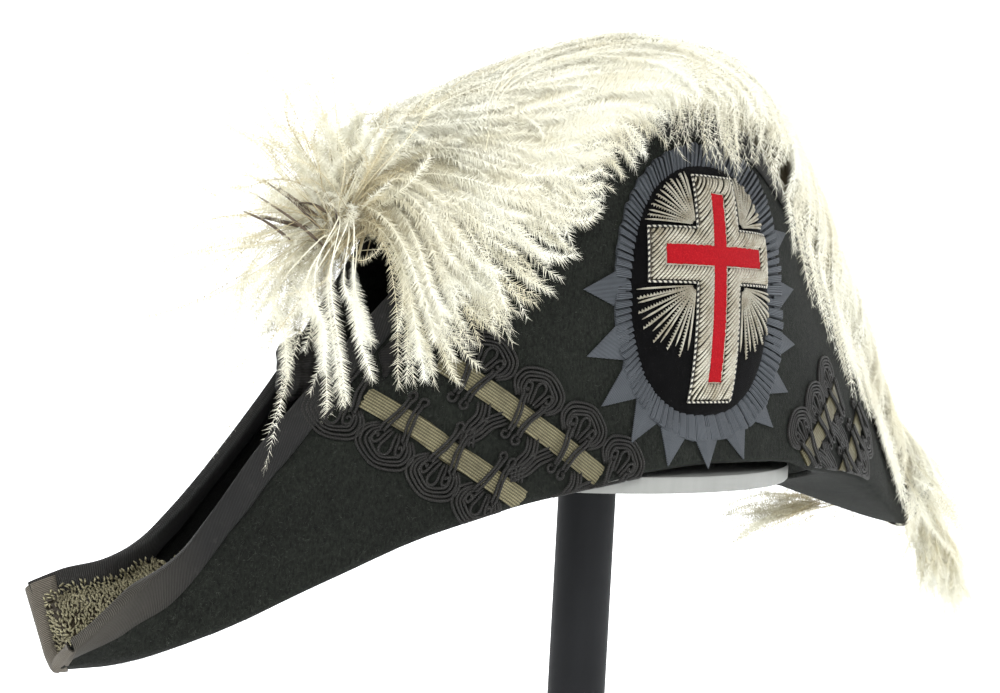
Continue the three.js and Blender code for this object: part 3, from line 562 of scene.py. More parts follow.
def stations(node, fewest):
    """The node's points at each place along X where it has at least `fewest` of them."""
    flat = np.empty(len(NODES[node].data.vertices) * 3)
    NODES[node].data.vertices.foreach_get("co", flat)
    points = np.unique(np.round(flat.reshape(-1, 3) / MM, 2), axis=0)
    found = {}
    for x in np.unique(points[:, 0]):
        apart = []
        for point in points[np.abs(points[:, 0] - x) < 0.02]:
            if all(np.abs(point - other).max() > 0.05 for other in apart):
                apart.append(point)
        if len(apart) >= fewest and not any(abs(x - known) < 0.05 for known in found):
            found[x] = np.array(apart)
    return found


class Wall:
    """The outer face of a turned-up wall. Its share t is 0 at the fold and 1 at the top edge."""

    SHARES = np.array([1, 0.86, 0.7, 0.54, 0.38, 0.22])  # the heights at which the CAD wall has rows

    def __init__(self, side, felt):
        self.side = side
        xs, heights, widths = [], [], []
        for x, points in felt.items():
            half = points[points[:, 1] * side > 0.05]
            rows = half[np.argsort(-half[:, 2])][: 2 * len(self.SHARES)].reshape(-1, 2, 3)
            outer = np.array([pair[np.argmax(np.abs(pair[:, 1]))] for pair in rows])
            xs.append(x)
            heights.append(np.polyfit(self.SHARES, outer[:, 2], 1))
            parts = np.stack([np.ones_like(self.SHARES), self.SHARES, np.sin(np.pi * self.SHARES)], axis=1)
            widths.append(np.linalg.lstsq(parts, np.abs(outer[:, 1]), rcond=None)[0])
        self.first, self.last = xs[0], xs[-1]
        self.height = [Smooth(xs, column) for column in np.array(heights).T]
        self.width = [Smooth(xs, column) for column in np.array(widths).T]

    def fold(self, x):
        return self.height[1](x)

    def top(self, x):
        return self.height[0](x) + self.height[1](x)

    def share(self, x, z):
        return (z - self.fold(x)) / (self.top(x) - self.fold(x))

    def half(self, x, t):
        base, lean, belly = (part(x) for part in self.width)
        return base + lean * t + belly * np.sin(np.pi * np.clip(t, 0, 1))

    def point(self, x, t):
        x, t = np.broadcast_arrays(*floats(x, t))
        z = self.fold(x) + (self.top(x) - self.fold(x)) * t
        return np.stack([x, self.side * self.half(x, t), z], axis=-1)

    def normal(self, x, t):
        inner = np.clip(x, self.first + 2, self.last - 2)
        along = self.point(inner + 2, t) - self.point(inner - 2, t)
        up = self.point(inner, t + 0.02) - self.point(inner, t - 0.02)
        return unit(np.cross(along, up)) * -self.side

    def place(self, x, z, lift=0.0):
        """Points at (x, z) on the wall, lifted off it along its normal."""
        x, z, lift = floats(x, z, lift)
        t = self.share(x, z)
        return self.point(x, t) + self.normal(x, t) * lift[..., None]

    def facing(self, x, z):
        return self.normal(np.asarray(x, dtype=float), self.share(x, z))


FELT = stations("felt_brim", 26)
WALLS = {side: Wall(side, FELT) for side in (NEAR, FAR)}


class Mane:
    """The plume's outer form. The share f is 0 on its crest and 1 at the end of its fringe."""

    CLEAR = 3.2  # between the felt and the inside of the plume

    def __init__(self):
        found = stations("plume_mane", 30)
        xs = np.array(list(found))
        self.first, self.last = xs[0], xs[-1]
        self.crest = Smooth(xs, [points[:, 2].max() for points in found.values()])
        self.hem = {
            side: Smooth(xs, [points[points[:, 1] * side > 0][:, 2].min() for points in found.values()])
            for side in (NEAR, FAR)
        }
        raised = [points[points[:, 2] > WALLS[FAR].top(x) - 1] for x, points in found.items()]
        self.shoulder = Smooth(xs, [np.abs(points[:, 1]).max() for points in raised])

    def point(self, x, f, side, depth=0.0):
        """Points of one side, `depth` millimetres under the outer form, and the ways out from it."""
        wall = WALLS[FAR]
        x, f = np.broadcast_arrays(*floats(x, f))
        within = np.minimum(x, wall.last)
        top = wall.top(within)
        shoulder = self.shoulder(x)
        rise = self.crest(x) - top
        arch = 0.5 * math.pi * np.sqrt((shoulder**2 + rise**2) / 2)
        fall = np.maximum(top - self.hem[side](x), 2)
        walk = f * (arch + fall)
        angle = np.minimum(walk / arch, 1) * math.pi / 2
        below = np.maximum(walk - arch, 0)
        down = below / fall
        z_wall = top - below
        t = np.clip(wall.share(within, z_wall), 0, 1)
        thick = shoulder - wall.half(within, 1) - self.CLEAR
        y_wall = wall.half(within, t) + self.CLEAR + thick * (1 - 0.65 * np.minimum(down, 1))
        over = walk < arch
        y = np.where(over, shoulder * np.sin(angle), y_wall)
        z = np.where(over, top + rise * np.cos(angle), z_wall)
        out_y = np.where(over, np.sin(angle), 0.97)
        out_z = np.where(over, np.cos(angle), 0.24)
        out = np.stack([np.zeros_like(x), side * out_y, out_z], axis=-1)
        return np.stack([x, side * y, z], axis=-1) - out * np.asarray(depth, dtype=float)[..., None], out


MANE = Mane()


# ---- the felt and its ribbon


def felt_pieces():
    finer_copy("felt_brim", "black_felt", 1, wobble=0.25, wave=17)
    finer_copy("felt_crown", "black_felt", 1, 0.3)


def edge_ribbon(side):
    """The ribbon folded over a wall's top edge."""
    wall = WALLS[side]
    clear, hem, middle = 1.35, 0.09, -FELT_THICK / 2
    xs = np.linspace(wall.first, wall.last, 300)
    over = np.linspace(0, math.pi, 7)[1:-1]
    legs = np.linspace(1, 0.05, 5)
    drops = np.concatenate([legs, -np.sin(over) * hem, legs[::-1]])
    turned = middle + (clear - middle) * np.cos(over)
    lifts = np.concatenate([np.full(5, clear), turned, np.full(5, 2 * middle - clear)])
    rng = np.random.default_rng(3 + side)
    knots = np.linspace(xs[0], xs[-1], 60)
    ripple = Smooth(knots, rng.normal(0, 0.25, 60))(xs)
    width = RIBBON_WIDTH + Smooth(knots, rng.normal(0, 0.3, 60))(xs) + 2.5 * np.clip((-205 - xs) / 30, 0, 1)
    height = wall.top(xs) - wall.fold(xs)
    reach = np.minimum(width, 0.52 * height)
    layers = []
    for shrink in (0, RIBBON_THICK):
        rows = []
        for drop, lift in zip(drops, lifts):
            t = 1 - drop * reach / height
            away = np.sign(lift - middle)
            swell = lift - shrink * away + ripple * max(0, drop) * away * 0.6
            rows.append(wall.point(xs, t) + wall.normal(xs, np.minimum(t, 1)) * swell[:, None])
        layers.append(np.stack(rows, axis=1))
    loop = np.concatenate([layers[0], layers[1][:, ::-1]], axis=1)
    uv = uv_grid(walked(wall.point(xs, 1)), there_and_back(drops * RIBBON_WIDTH))
    name = SIDES[side]
    add_loops(f"edge_ribbon_{name}", loop, "black_ribbon", uv=uv, replaces=(f"edge_binding_{name}",))


def tip_ribbon(end):
    """The ribbon folded over the end of the brim, from the near corner round the keel to the far one."""
    sign = -1 if end == "front" else 1
    tip = WALLS[NEAR].first if sign < 0 else WALLS[NEAR].last
    lift = 1.45

    def section(x):
        keel = min(FELT.items(), key=lambda item: abs(item[0] - x))[1][:, 2].min()
        near = WALLS[NEAR].point(np.full(6, x), np.linspace(0.99, 0.16, 6))
        far = WALLS[FAR].point(np.full(7, x), np.linspace(0.14, 0.985, 7))
        line = curve_through(np.concatenate([near, [[x, 0, keel]], far]), 5)
        along = unit(np.gradient(line[:, 1:], axis=0))
        return line, np.stack([0 * line[:, 0], along[:, 1], -along[:, 0]], axis=-1)

    end_line, end_out = section(tip)
    narrow = np.interp(np.linspace(0, 1, len(end_line)), (0, 0.4, 0.6), (0.12, 0.2, 1))[:, None]

    def banded(back):
        line, out = section(tip - sign * back)
        return end_line + (line - end_line) * narrow, unit(end_out + (out - end_out) * narrow)

    rows = []
    rng = np.random.default_rng(9)
    for layer in (0.0, RIBBON_THICK):
        side = []
        for back in (9.6, 6, 3, 0.3):
            line, out = banded(back)
            side.append(line + out * (lift - layer + (0.1 * rng.normal() if layer == 0 else 0)))
        for turn in (0.5, 1.0, 1.5, 2.0, 2.6):
            height = -FELT_THICK / 2 + (lift - layer + FELT_THICK / 2) * math.cos(turn)
            ahead = np.array([sign * (1.9 - layer) * math.sin(turn), 0, 0])
            side.append(end_line + end_out * height + ahead)
        for back in (0.3, 3, 5, 7.6):
            line, out = banded(back)
            side.append(line - out * (lift + RIBBON_THICK + FELT_THICK - layer))
        rows += side if layer == 0 else side[::-1]
    grid = np.stack(rows, axis=1)
    uv = uv_grid(walked(grid[:, 4]), there_and_back(np.arange(13) * 2.0))
    add_loops(f"tip_ribbon_{end}", grid, "worn_ribbon", uv=uv, replaces=(f"tip_binding_{end}",))


def ribbon_pieces():
    edge_ribbon(NEAR)
    edge_ribbon(FAR)
    tip_ribbon("front")
    tip_ribbon("rear")
    finer_copy("ribbon_knot", "knotted_ribbon", 4, 0.3, wobble=1.3, wave=2.0, shift=(5, 0, 1))
    finer_copy("ribbon_folds", "knotted_ribbon", 2, 0.4, wobble=0.2, wave=3)


# ---- the plume

# How far rearwards a barb runs from its root to its tip, by the place of its tip along X.
SWEEP = Smooth([-138, -115, -80, -40, 0, 60, 120, 224], [16, 40, 72, 100, 108, 86, 62, 50])

# How far the near fringe hangs, as a multiple of the outer form's own, by place along X.
HANG = Smooth(
    [-138, -118, -95, -70, -40, -10, 20, 50, 66, 85, 100, 140, 180, 222],
    [1.12, 1.1, 0.93, 0.93, 0.98, 1.1, 1.2, 1.14, 1.22, 1.42, 1.52, 1.58, 1.6, 1.35],
)
QUILL_BASE = np.array([-137.0, -4.0, 320.0])
FIRST_ROOT = -136  # no barb starts further forwards than this
LAST_BARBULES = 0.85  # their length, as a share of the longest


class Flue(Parts):
    """Barbs with their barbules, gathered into one mesh."""

    def barbs(self, paths, facing, rng, tint, barbules=110, bare=0.1, length=4.0, stem=0.24):
        """paths is (barbs, steps, 3). Each barb gets a stem and barbules on both sides."""
        total, steps, _ = paths.shape
        along = unit(np.gradient(paths, axis=1))
        across = unit(np.cross(along, facing))
        out = np.cross(across, along)
        self.stems(paths, across, tint, stem)
        at = bare + (1 - bare) * ((np.arange(barbules) + 0.5) / barbules) ** 0.85
        jitter = rng.uniform(-0.5, 0.5, (total, barbules)) * (1 - bare) / barbules
        at = np.clip(at[None, :] + jitter, 0, 0.9999)
        index = at * (steps - 1)
        low = index.astype(int)
        part = (index - low)[..., None]
        rows = np.arange(total)[:, None]

        def between(values):
            return values[rows, low] * (1 - part) + values[rows, low + 1] * part

        base, forward, sideways, outward = (between(v) for v in (paths, along, across, out))
        shorter = (1 - LAST_BARBULES) * np.clip((at - 0.93) / 0.07, 0, 1)
        grown = np.minimum(1, (at - bare + 0.05) * 5) * (1 - shorter)
        for sign in (-1, 1):
            slant = (rng.normal(0.98, 0.12, at.shape) - 0.6 * np.clip((at - 0.92) / 0.08, 0, 1))[..., None]
            size = (length * grown * rng.uniform(0.7, 1.15, at.shape))[..., None]
            lift = rng.normal(0.05, 0.28, at.shape)[..., None]
            heading = unit(forward * np.cos(slant) + sign * sideways * np.sin(slant) + outward * lift)
            tip = base + heading * size
            tip[..., 2] -= 0.12 * size[..., 0]
            foot = forward * 0.16
            corners = np.stack([base - foot, base + foot, tip], axis=2).reshape(-1, 3)
            tones = np.repeat((at + tint[:, None]).ravel(), 3)
            tones[2::3] += 0.2
            self.collect(corners, np.arange(len(corners)).reshape(-1, 3), tones)

    def stems(self, paths, across, tint, stem):
        total, steps, _ = paths.shape
        share = np.linspace(0, 1, steps)
        width = stem * (1 - 0.75 * share)[None, :, None]
        ribbon = np.stack([paths - across * width, paths + across * width], axis=2).reshape(-1, 3)
        offset = (np.arange(total) * steps * 2)[:, None, None]
        strips = (grid_faces(steps, 2)[None] + offset).reshape(-1, 4)
        triangles = np.concatenate([strips[:, :3], strips[:, [0, 2, 3]]])
        self.collect(ribbon, triangles, np.repeat((share[None, :] + tint[:, None] + 0.2).ravel(), 2))

    def burst(self, rng, origins, headings, lengths, droop, tint, path, longer=0.0, sag=0.0, **look):
        """Barbs that leave their roots. Lengths, droop and tint are ranges to draw from."""
        count = len(origins)
        lengths = rng.uniform(*lengths, count) + longer
        droop = rng.uniform(*droop, count) + sag * np.clip(-headings[:, 2], 0, 1)
        paths, facing = spray(origins, headings, lengths, droop, rng, **path)
        self.barbs(paths, facing, rng, rng.uniform(*tint, count), **look)

    def finish(self, name, replaces=()):
        points, faces, tones = self.joined()
        add_mesh(name, points, faces, "white_feather", tone=np.clip(tones, 0, 1), replaces=replaces)


def bezier(a, b, c, d, s):
    return a * (1 - s) ** 3 + 3 * b * s * (1 - s) ** 2 + 3 * c * s**2 * (1 - s) + d * s**3


def hanging_paths(side, tips, per_lock, rng, depth=(0.0, 7.0), reach=(0.8, 1.04), hook=(3.0, 4.0),
                  width=5.0, root=0.55, sweep=1.0):
    """Barbs that rise from the quills' base, turn over in an arc and hang. Also each barb's tint, with
    painted shade on the deeper barbs.
    """
    count, total = len(tips), len(tips) * per_lock

    def each(values):
        return np.repeat(values, per_lock)[:, None]

    def loose(low, high):
        return rng.uniform(low, high, (total, 1))

    s = np.linspace(0, 1, 17)[None, :]
    offset = np.tile(np.linspace(-1, 1, per_lock) if per_lock > 1 else [0.0], count)
    offset = (offset + rng.normal(0, 0.3, total))[:, None]
    run = each(SWEEP(tips) * rng.uniform(0.82, 1.2, count)) * sweep + rng.normal(0, 4, (total, 1))
    end_x = each(tips)
    start_x = np.maximum(end_x - run, FIRST_ROOT + loose(0, 7))
    run = end_x - start_x
    start_f = np.interp(start_x, (FIRST_ROOT, -60), (root, 0.1)) * loose(0.75, 1.2)
    end_f = each(rng.uniform(*reach, count)) * (1 - 0.05 * np.abs(offset) ** 1.5 - loose(0, 0.1))
    if side == NEAR:
        end_f = end_f * HANG(end_x)
    climb = np.interp(end_x, (-134, -95, -40), (0.1, 0.7, 1.0))
    high_f = start_f * (1 - climb * each(rng.uniform(0.6, 1.3, count)))
    level = np.interp(end_x, (-134, -90, -40, 10), (0.85, 0.72, 0.5, 0.33))
    turn_f = end_f * level * each(rng.uniform(0.75, 1.25, count))
    ease = np.interp(end_x, (-100, -20), (0.5, 0.34))
    curl = each(rng.normal(*hook, count))
    under = each(rng.uniform(*depth, count)) + loose(0, 3.2)
    x = bezier(start_x, start_x + 0.2 * run, end_x - ease * run, end_x, s)
    x = x + offset * width * (0.4 + 0.6 * s) - curl * s**4
    f = bezier(start_f, high_f, turn_f, end_f, s)
    deep = under * (1 - 0.6 * s) + 3 * (1 - s) ** 3 - 1.2 * s**3
    flutter = rng.normal(0, 0.9, (total, 1)) * np.sin(s * 4.2 + loose(0, 6))
    path, out = MANE.point(x + 1.3 * flutter, f, side, deep + 0.5 * flutter)
    root_shift = QUILL_BASE + rng.normal(0, 1, (total, 3)) * [4, 3, 5] - path[:, 0]
    near_root = np.clip((-98 - start_x) / 34, 0, 1) ** 0.7
    path += root_shift[:, None] * (near_root * (1 - s) ** 2.6)[..., None]
    # each lock's and barb's own random tint, less with depth: painted shade on the deeper barbs
    tint = each(rng.uniform(-0.22, 0.1, count)) + loose(-0.12, 0.12) - 0.03 * under
    return path, out, tint[:, 0]


def spray(origins, headings, lengths, droop, rng, steps=15, curl=0.0, coil=0.0):
    """Barbs that leave their roots in given directions, bend down with their weight and curl."""
    s = np.linspace(0, 1, steps)[None, :, None]
    headings = unit(headings)
    lengths = lengths[:, None, None]
    path = origins[:, None] + headings[:, None] * lengths * s
    path[..., 2] -= (droop[:, None] * lengths[:, 0] * s[..., 0] ** 2)
    sway = unit(np.cross(headings, rng.normal(0, 1, headings.shape)))[:, None]
    other = unit(np.cross(headings[:, None], sway))
    path += sway * curl * lengths * np.sin(s * 3.0) * s
    turns = rng.uniform(2.5, 7.5, (len(headings), 1, 1))
    path += coil * s**1.5 * (sway * np.sin(turns * s) + other * (1 - np.cos(turns * s)))
    return path, unit(np.cross(sway[:, 0], headings))[:, None].repeat(steps, axis=1)


def plume_core():
    """The packed down at the heart of the plume, which the barbs cover. Its low tone makes it dark: painted
    shade for the plume's shaded inside.
    """
    xs = np.linspace(-112, MANE.last - 6, 86)
    rng = np.random.default_rng(4)
    low = np.interp(xs, (20, 100), (0.5, 0.74)) + rng.uniform(-0.05, 0.05, len(xs)) * (xs > 20)

    def sheet(side, shares, inside):
        lines = []
        for share in shares:
            f = share * (low if side == FAR else 0.5)
            depth = np.interp(f, (0.4, 0.85), (8.0, 2.0)) + inside * np.interp(f, (0.4, 0.6), (5.0, 0.9))
            lines.append(MANE.point(xs, f, side, depth)[0])
        return lines

    shares = np.linspace(0.06, 1, 10)
    grid = np.stack(sheet(NEAR, shares[::-1], 0) + sheet(FAR, shares, 0), axis=1)
    grid += rng.normal(0, 0.4, grid.shape)
    under = np.stack(sheet(FAR, shares[::-1], 1) + sheet(NEAR, shares, 1), axis=1)
    loop = np.concatenate([grid, under], axis=1)
    # the low tone 0.12 paints the core dark: painted shade inside the plume
    add_loops("plume_core", loop, "white_feather", tone=np.full(loop.shape[:2], 0.12))


def locks(rng, name, side, first, last, count, per_lock, barbules, replaces=(), strays=0, pale=0.0, **how):
    """Hanging locks whose tips lie from first to last along X, and stray barbs over them."""
    flue = Flue()
    tips = np.linspace(first, last, count) + rng.uniform(-2, 2, count)
    paths, facing, tint = hanging_paths(side, tips, per_lock, rng, **how)
    # `pale` lightens a layer's barbs: painted light on the crest layers at the plume's lit top
    flue.barbs(paths, facing, rng, tint + pale, barbules, 0.12)
    if strays:
        low, high = how["reach"]
        loose = dict(how, depth=(-5 - 12 * pale, 1), reach=(0.5 * (low + high), high + 0.1), hook=(4, 12))
        paths, facing, tint = hanging_paths(side, rng.uniform(first, last, strays), 1, rng, **loose)
        # the stray barbs lie outside the locks and are made paler: painted light
        flue.barbs(paths, facing, rng, tint + 0.15, barbules, 0.3)
    flue.finish(name, replaces)


# Each layer's side, first and last tip along X, locks, barbs in each, barbules on each barb, and how it lies.
LAYERS = {
    "near_under": (NEAR, -121, 64, 63, 4, 108,
                   dict(reach=(0.84, 1.06), depth=(4, 9), replaces=("plume_mane",))),
    "near_over": (NEAR, -119, 68, 78, 4, 155, dict(reach=(0.45, 1.0), depth=(-1, 6), width=3.6, strays=40)),
    "near_upper": (NEAR, -110, 72, 48, 4, 138, dict(reach=(0.25, 0.75), depth=(-2, 3), width=3.6)),
    "near_crest": (NEAR, -112, 74, 34, 3, 150,
                   dict(reach=(0.08, 0.4), depth=(-5, -1), width=6, strays=24, pale=0.25)),
    "near_rear": (NEAR, 52, 222, 76, 5, 94,
                  dict(reach=(0.5, 1.12), hook=(8, 5), width=2.6, sweep=0.4, strays=30)),
    "far_front": (FAR, -132, 66, 60, 4, 100, dict(reach=(0.5, 1.06), depth=(-1, 6))),
    "ridge": (NEAR, -112, 216, 50, 3, 84, dict(reach=(-0.16, 0.14), depth=(-5, -2), width=5, root=0.05)),
    "far_crest": (FAR, -112, 74, 24, 3, 130, dict(reach=(0.1, 0.45), depth=(-4, 0), width=6, pale=0.25)),
    "far_rear": (FAR, 50, 222, 64, 4, 90, dict(reach=(0.6, 1.14))),
    "far_upper": (FAR, -110, 200, 50, 3, 100, dict(reach=(0.25, 0.72), depth=(-2, 3), width=3.6)),
}


def plume_pieces():
    rng = np.random.default_rng(11)
    plume_core()
    for name, (*place, how) in LAYERS.items():
        locks(rng, f"plume_{name}", *place, **how)
    front_tuft(rng)
    quill_stubs()
    tail(rng)


def fan(rng, count, low, high, aside, spread):
    """Directions that fan out from forwards to up, at angles from low to high."""
    angle = rng.uniform(low, high, count)
    return np.stack([-np.cos(angle), rng.normal(aside, spread, count), np.sin(angle)], axis=-1)


def scattered(rng, count, middle, spread, shift=(0, 0, 0)):
    return middle + rng.normal(0, 1, (count, 3)) * spread + shift


def front_tuft(rng):
    """Loose barbs, hanging flues and wisps round the quills' base at the front of the plume."""
    flue = Flue()
    count = 120
    headings = fan(rng, count, -0.9, 1.7, -0.1, 0.55)
    origins = scattered(rng, count, QUILL_BASE, (4, 3, 5), (0, 7, -3))
    flue.burst(rng, origins, headings, (26, 64), (0.1, 0.5), (-0.1, 0.3), {"curl": 0.14, "coil": 2.5},
               sag=0.5, barbules=60, bare=0.25, length=3.4, stem=0.12)
    hanging_flues(flue, rng)
    count = 40
    headings = scattered(rng, count, np.array([0.8, -0.3, 0.6]), 0.3)
    origins = scattered(rng, count, QUILL_BASE, (4, 4, 5))
    flue.burst(rng, origins, headings, (38, 64), (0.1, 0.45), (-0.1, 0.2), {"curl": 0.1, "coil": 2},
               barbules=90, bare=0.2, length=3.8, stem=0.2)
    count = 90
    headings = fan(rng, count, 1.0, 2.1, 0.1, 0.35)
    origins = scattered(rng, count, QUILL_BASE, (4, 4, 5), (5, 4, 2))
    flue.burst(rng, origins, headings, (34, 60), (0.0, 0.3), (-0.05, 0.25), {"curl": 0.1, "coil": 3},
               barbules=80, bare=0.3, length=3.8, stem=0.18)
    count = 84
    headings = fan(rng, count, -0.5, 2.0, -0.05, 0.5)
    origins = scattered(rng, count, QUILL_BASE, (3, 4, 4))
    wisp = {"steps": 26, "curl": 0.2, "coil": 6}
    flue.burst(rng, origins, headings, (52, 112), (0.0, 0.4), (-0.6, -0.1), wisp,
               barbules=60, bare=0.35, length=2.4, stem=0.22)
    flue.finish("plume_front_look", ("plume_front",))


def quill_stubs():
    """Broken ends of thin quills beside the two that the CAD holds."""
    stubs = (
        ((-149, -9, 320), (-174, -12, 335)),
        ((-147, -10, 313), (-178, -12, 330)),
        ((-163, -11, 315), (-184, -13, 324)),
        ((-146, -9, 326), (-160, -12, 329)),
        ((-141, -10, 318), (-145, -12, 328)),
    )
    paths = [curve_through([a, 0.5 * (np.array(a) + b) + (0, 0, 1.2), b], 4) for a, b in stubs]
    add_tubes("quill_stubs", paths, STUB_RADIUS, "quill_horn", taper=0.5)


def hanging_flues(flue, rng):
    """Long flues that fall over the near wall and the mouth of the trough from the quills' base."""
    lines = []
    for k in range(9):
        x = -163 + 2.9 * k + rng.normal(0, 1.2)
        low = rng.uniform(240, 284)
        half = float(WALLS[NEAR].half(max(x, -150), 0.8))
        y = -half - rng.uniform(2, 9) if x > -150 else rng.uniform(-34, 4)
        start = QUILL_BASE + rng.normal(0, 3, 3)
        points = [start, start + (x - start[0], 0, 0) * np.array([0.4, 1, 1]) + (0, 0.45 * y, -1)]
        points.append((x - 3, 0.85 * y, start[2] - 22))
        points.append((x + rng.normal(0, 2), y, 0.5 * (low + 300)))
        points.append((x + 4, y, low))
        lines.append(curve_through(points, 5))
    for x, y, low in ((-190, 2, 256), (-186, -8, 268), (-181, 5, 262)):
        start = QUILL_BASE + rng.normal(0, 3, 3)
        bend = (x + 6, y, 0.5 * (low + 306))
        points = [start, (-152, 0.4 * y, 322), (-170, 0.8 * y, 306), bend, (x, y, low)]
        lines.append(curve_through(points, 5))
    paths = np.stack(lines)
    facing = np.broadcast_to(np.array([-0.3, -1.0, 0.1]), paths.shape)
    flue.barbs(paths, facing, rng, rng.uniform(0.15, 0.4, len(lines)), 130, 0.42, 4.2, 0.3)


def tail(rng):
    """The plume's tail, over the rear tip and down behind it, and the barbs under the rear brim."""
    spine = curve_through([(206, 0, 236), (222, 0, 224), (238, 0, 203), (252, 0, 183), (263, 0, 164)])
    flue = Flue()
    count = 235
    at = rng.uniform(0, len(spine) - 2, count).astype(int)
    along = unit(np.gradient(spine, axis=0))[at]
    spread = np.stack([rng.normal(0, wide, count) for wide in (0.18, 0.42, 0.2)], axis=-1)
    origins = scattered(rng, count, spine[at], (2, 7, 3), (-7, -2, 0))
    origins[::3] += [-8, -14, -10]
    flue.burst(rng, origins, along + spread, (16, 28), (0.1, 0.35), (0, 0.3), {"curl": 0.08},
               longer=16 * (1 - at / len(spine)), barbules=75, bare=0.1, length=3.8)
    # the barbs under the rear brim get a darker tint than the tail: painted shade under the brim
    count = 46
    origins = scattered(rng, count, np.array([190.0, 26.0, 197.0]), (7, 3, 2))
    headings = scattered(rng, count, np.array([-1.0, 0.42, -0.12]), 0.14)
    flue.burst(rng, origins, headings, (26, 62), (0.0, 0.22), (-0.3, 0), {"curl": 0.08, "coil": 2},
               barbules=70, bare=0.15, length=3.2, stem=0.18)
    flue.finish("plume_tail_look", ("plume_tail",))


# ---- the badge

BADGE = {"x": 0.8, "z": 304.9, "lean": math.radians(7.2), "slope": math.radians(-0.4)}
OVAL = (48.0, 60.5, 2.4)  # half width, half height and squareness of the pleated ribbon's outside
RING_RADIUS = 54  # the ribbon ring's mean, for lengths along it
RING_SHIFT = 3.4  # the ribbon's outer edge sits this far rearwards of the pad
PAD = (39.0, 51.5, 7.0)  # half width, half height and dome of the velvet
CROSS = {"height": 91.0, "span": 65.5, "bar": 22.0, "arm": 21.6, "rise": 12.3}
INLAY = {"height": 76.0, "span": 52.0, "bar": 6.6, "arm": 8.0, "rise": 12.3}


def on_badge(u, v, lift):
    """Points of the badge: u to the rear and v up from its middle, lifted off the felt."""
    u, v = np.broadcast_arrays(*floats(u, v))
    x = BADGE["x"] + u * math.cos(BADGE["slope"]) + v * math.sin(BADGE["lean"])
    z = BADGE["z"] - u * math.sin(BADGE["slope"]) + v * math.cos(BADGE["lean"])
    return WALLS[NEAR].place(x, z, np.broadcast_to(lift, u.shape))


def facing_badge(u, v):
    u, v = floats(u, v)
    return WALLS[NEAR].facing(BADGE["x"] + u, BADGE["z"] + v)


def pad_share(u, v, inset=0.0):
    """0 at the pad's middle and 1 on its outline."""
    return (np.abs(u) / (PAD[0] - inset)) ** OVAL[2] + (np.abs(v) / (PAD[1] - inset)) ** OVAL[2]


def pad_lift(u, v):
    return 1.2 + PAD[2] * np.sqrt(np.maximum(0, 1 - pad_share(u, v)))


def oval(angle, inset=0.0):
    def share(value):
        return np.sign(value) * np.abs(value) ** (2 / OVAL[2])

    return (OVAL[0] - inset) * share(np.cos(angle)), (OVAL[1] - inset) * share(np.sin(angle))


def velvet_pad():
    rim = 0.9 + 0.1 * np.sin(np.linspace(0.15, 1, 8) * math.pi / 2)
    rings = np.concatenate([np.linspace(0.02, 0.9, 22), rim])
    u, v = oval(np.linspace(0, 2 * math.pi, 144, endpoint=False))
    u, v = u / OVAL[0] * PAD[0], v / OVAL[1] * PAD[1]
    us, vs = rings[:, None] * u[None], rings[:, None] * v[None]
    rng = np.random.default_rng(5)
    lift = pad_lift(us, vs) - 0.5 + rng.normal(0, 0.05, us.shape)
    points = np.concatenate([on_badge(us, vs, lift), on_badge(us[-1:], vs[-1:], 0.3)])
    piece = add_loops("velvet_pad_look", points, "black_velvet", replaces=("velvet_pad",))


def pleat_edges(rng):
    """Where the pleats fold: close on the badge's sides and nearly flat along its foot."""
    edges, angle, last = [], -math.pi / 2, 1.5 * math.pi
    while angle < last - 0.02:
        edges.append(angle)
        low = max(0.0, -math.sin(angle))
        rear = max(0.0, math.cos(angle))
        width = 2.5 + 0.9 * rear + 3.4 * max(0, low - 0.8) / 0.2
        angle += width * rng.uniform(0.8, 1.2) / RING_RADIUS
    return np.array(edges + [last])


def pleated_ribbon():
    rng = np.random.default_rng(8)
    edges = pleat_edges(rng)
    laid = ((0.0, 0.35), (0.1, 1.1), (0.3, 1.75), (0.75, 2.1), (0.92, 2.0), (0.97, 0.35))
    opened = ((0.0, 0.1), (0.2, 0.15), (0.26, 1.7), (0.5, 2.1), (0.9, 2.2), (0.95, 0.3))
    angles, lifts = [], []
    for start, end in zip(edges[:-1], edges[1:]):
        deep = rng.uniform(0.75, 1.1)
        side_on = math.cos(start) > 0.35
        for share, lift in opened if side_on else laid:
            angles.append(start + (end - start) * share)
            lifts.append(0.5 + (lift - 0.35) * deep * (1.15 if side_on else 1))
    angles, lifts = np.array(angles), np.array(lifts)
    insets = np.array([-0.4, 0.5, 3, 6, 9, 11])
    press = np.array([0.75, 1, 1, 1, 0.95, 0.5])
    ragged = Smooth(edges, rng.normal(0, 0.35, len(edges)))(angles)
    u, v = oval(angles[None, :], insets[:, None] + ragged[None, :] * (insets[:, None] < 4))
    u = u + RING_SHIFT * (1 - np.clip(insets[:, None], 0, 11) / 11)
    top = on_badge(u, v, lifts[None, :] * press[:, None] + 0.15)
    points = np.concatenate([top, on_badge(u[::-1], v[::-1], 0.15)]).transpose(1, 0, 2)
    uv = uv_grid(angles * RING_RADIUS, there_and_back(insets))
    faces = grid_faces(*points.shape[:2], closed=True)[:, ::-1]
    add_mesh("pleats", points, faces, "slate_ribbon", uv=uv, replaces=("pleated_ribbon",), smooth=False)


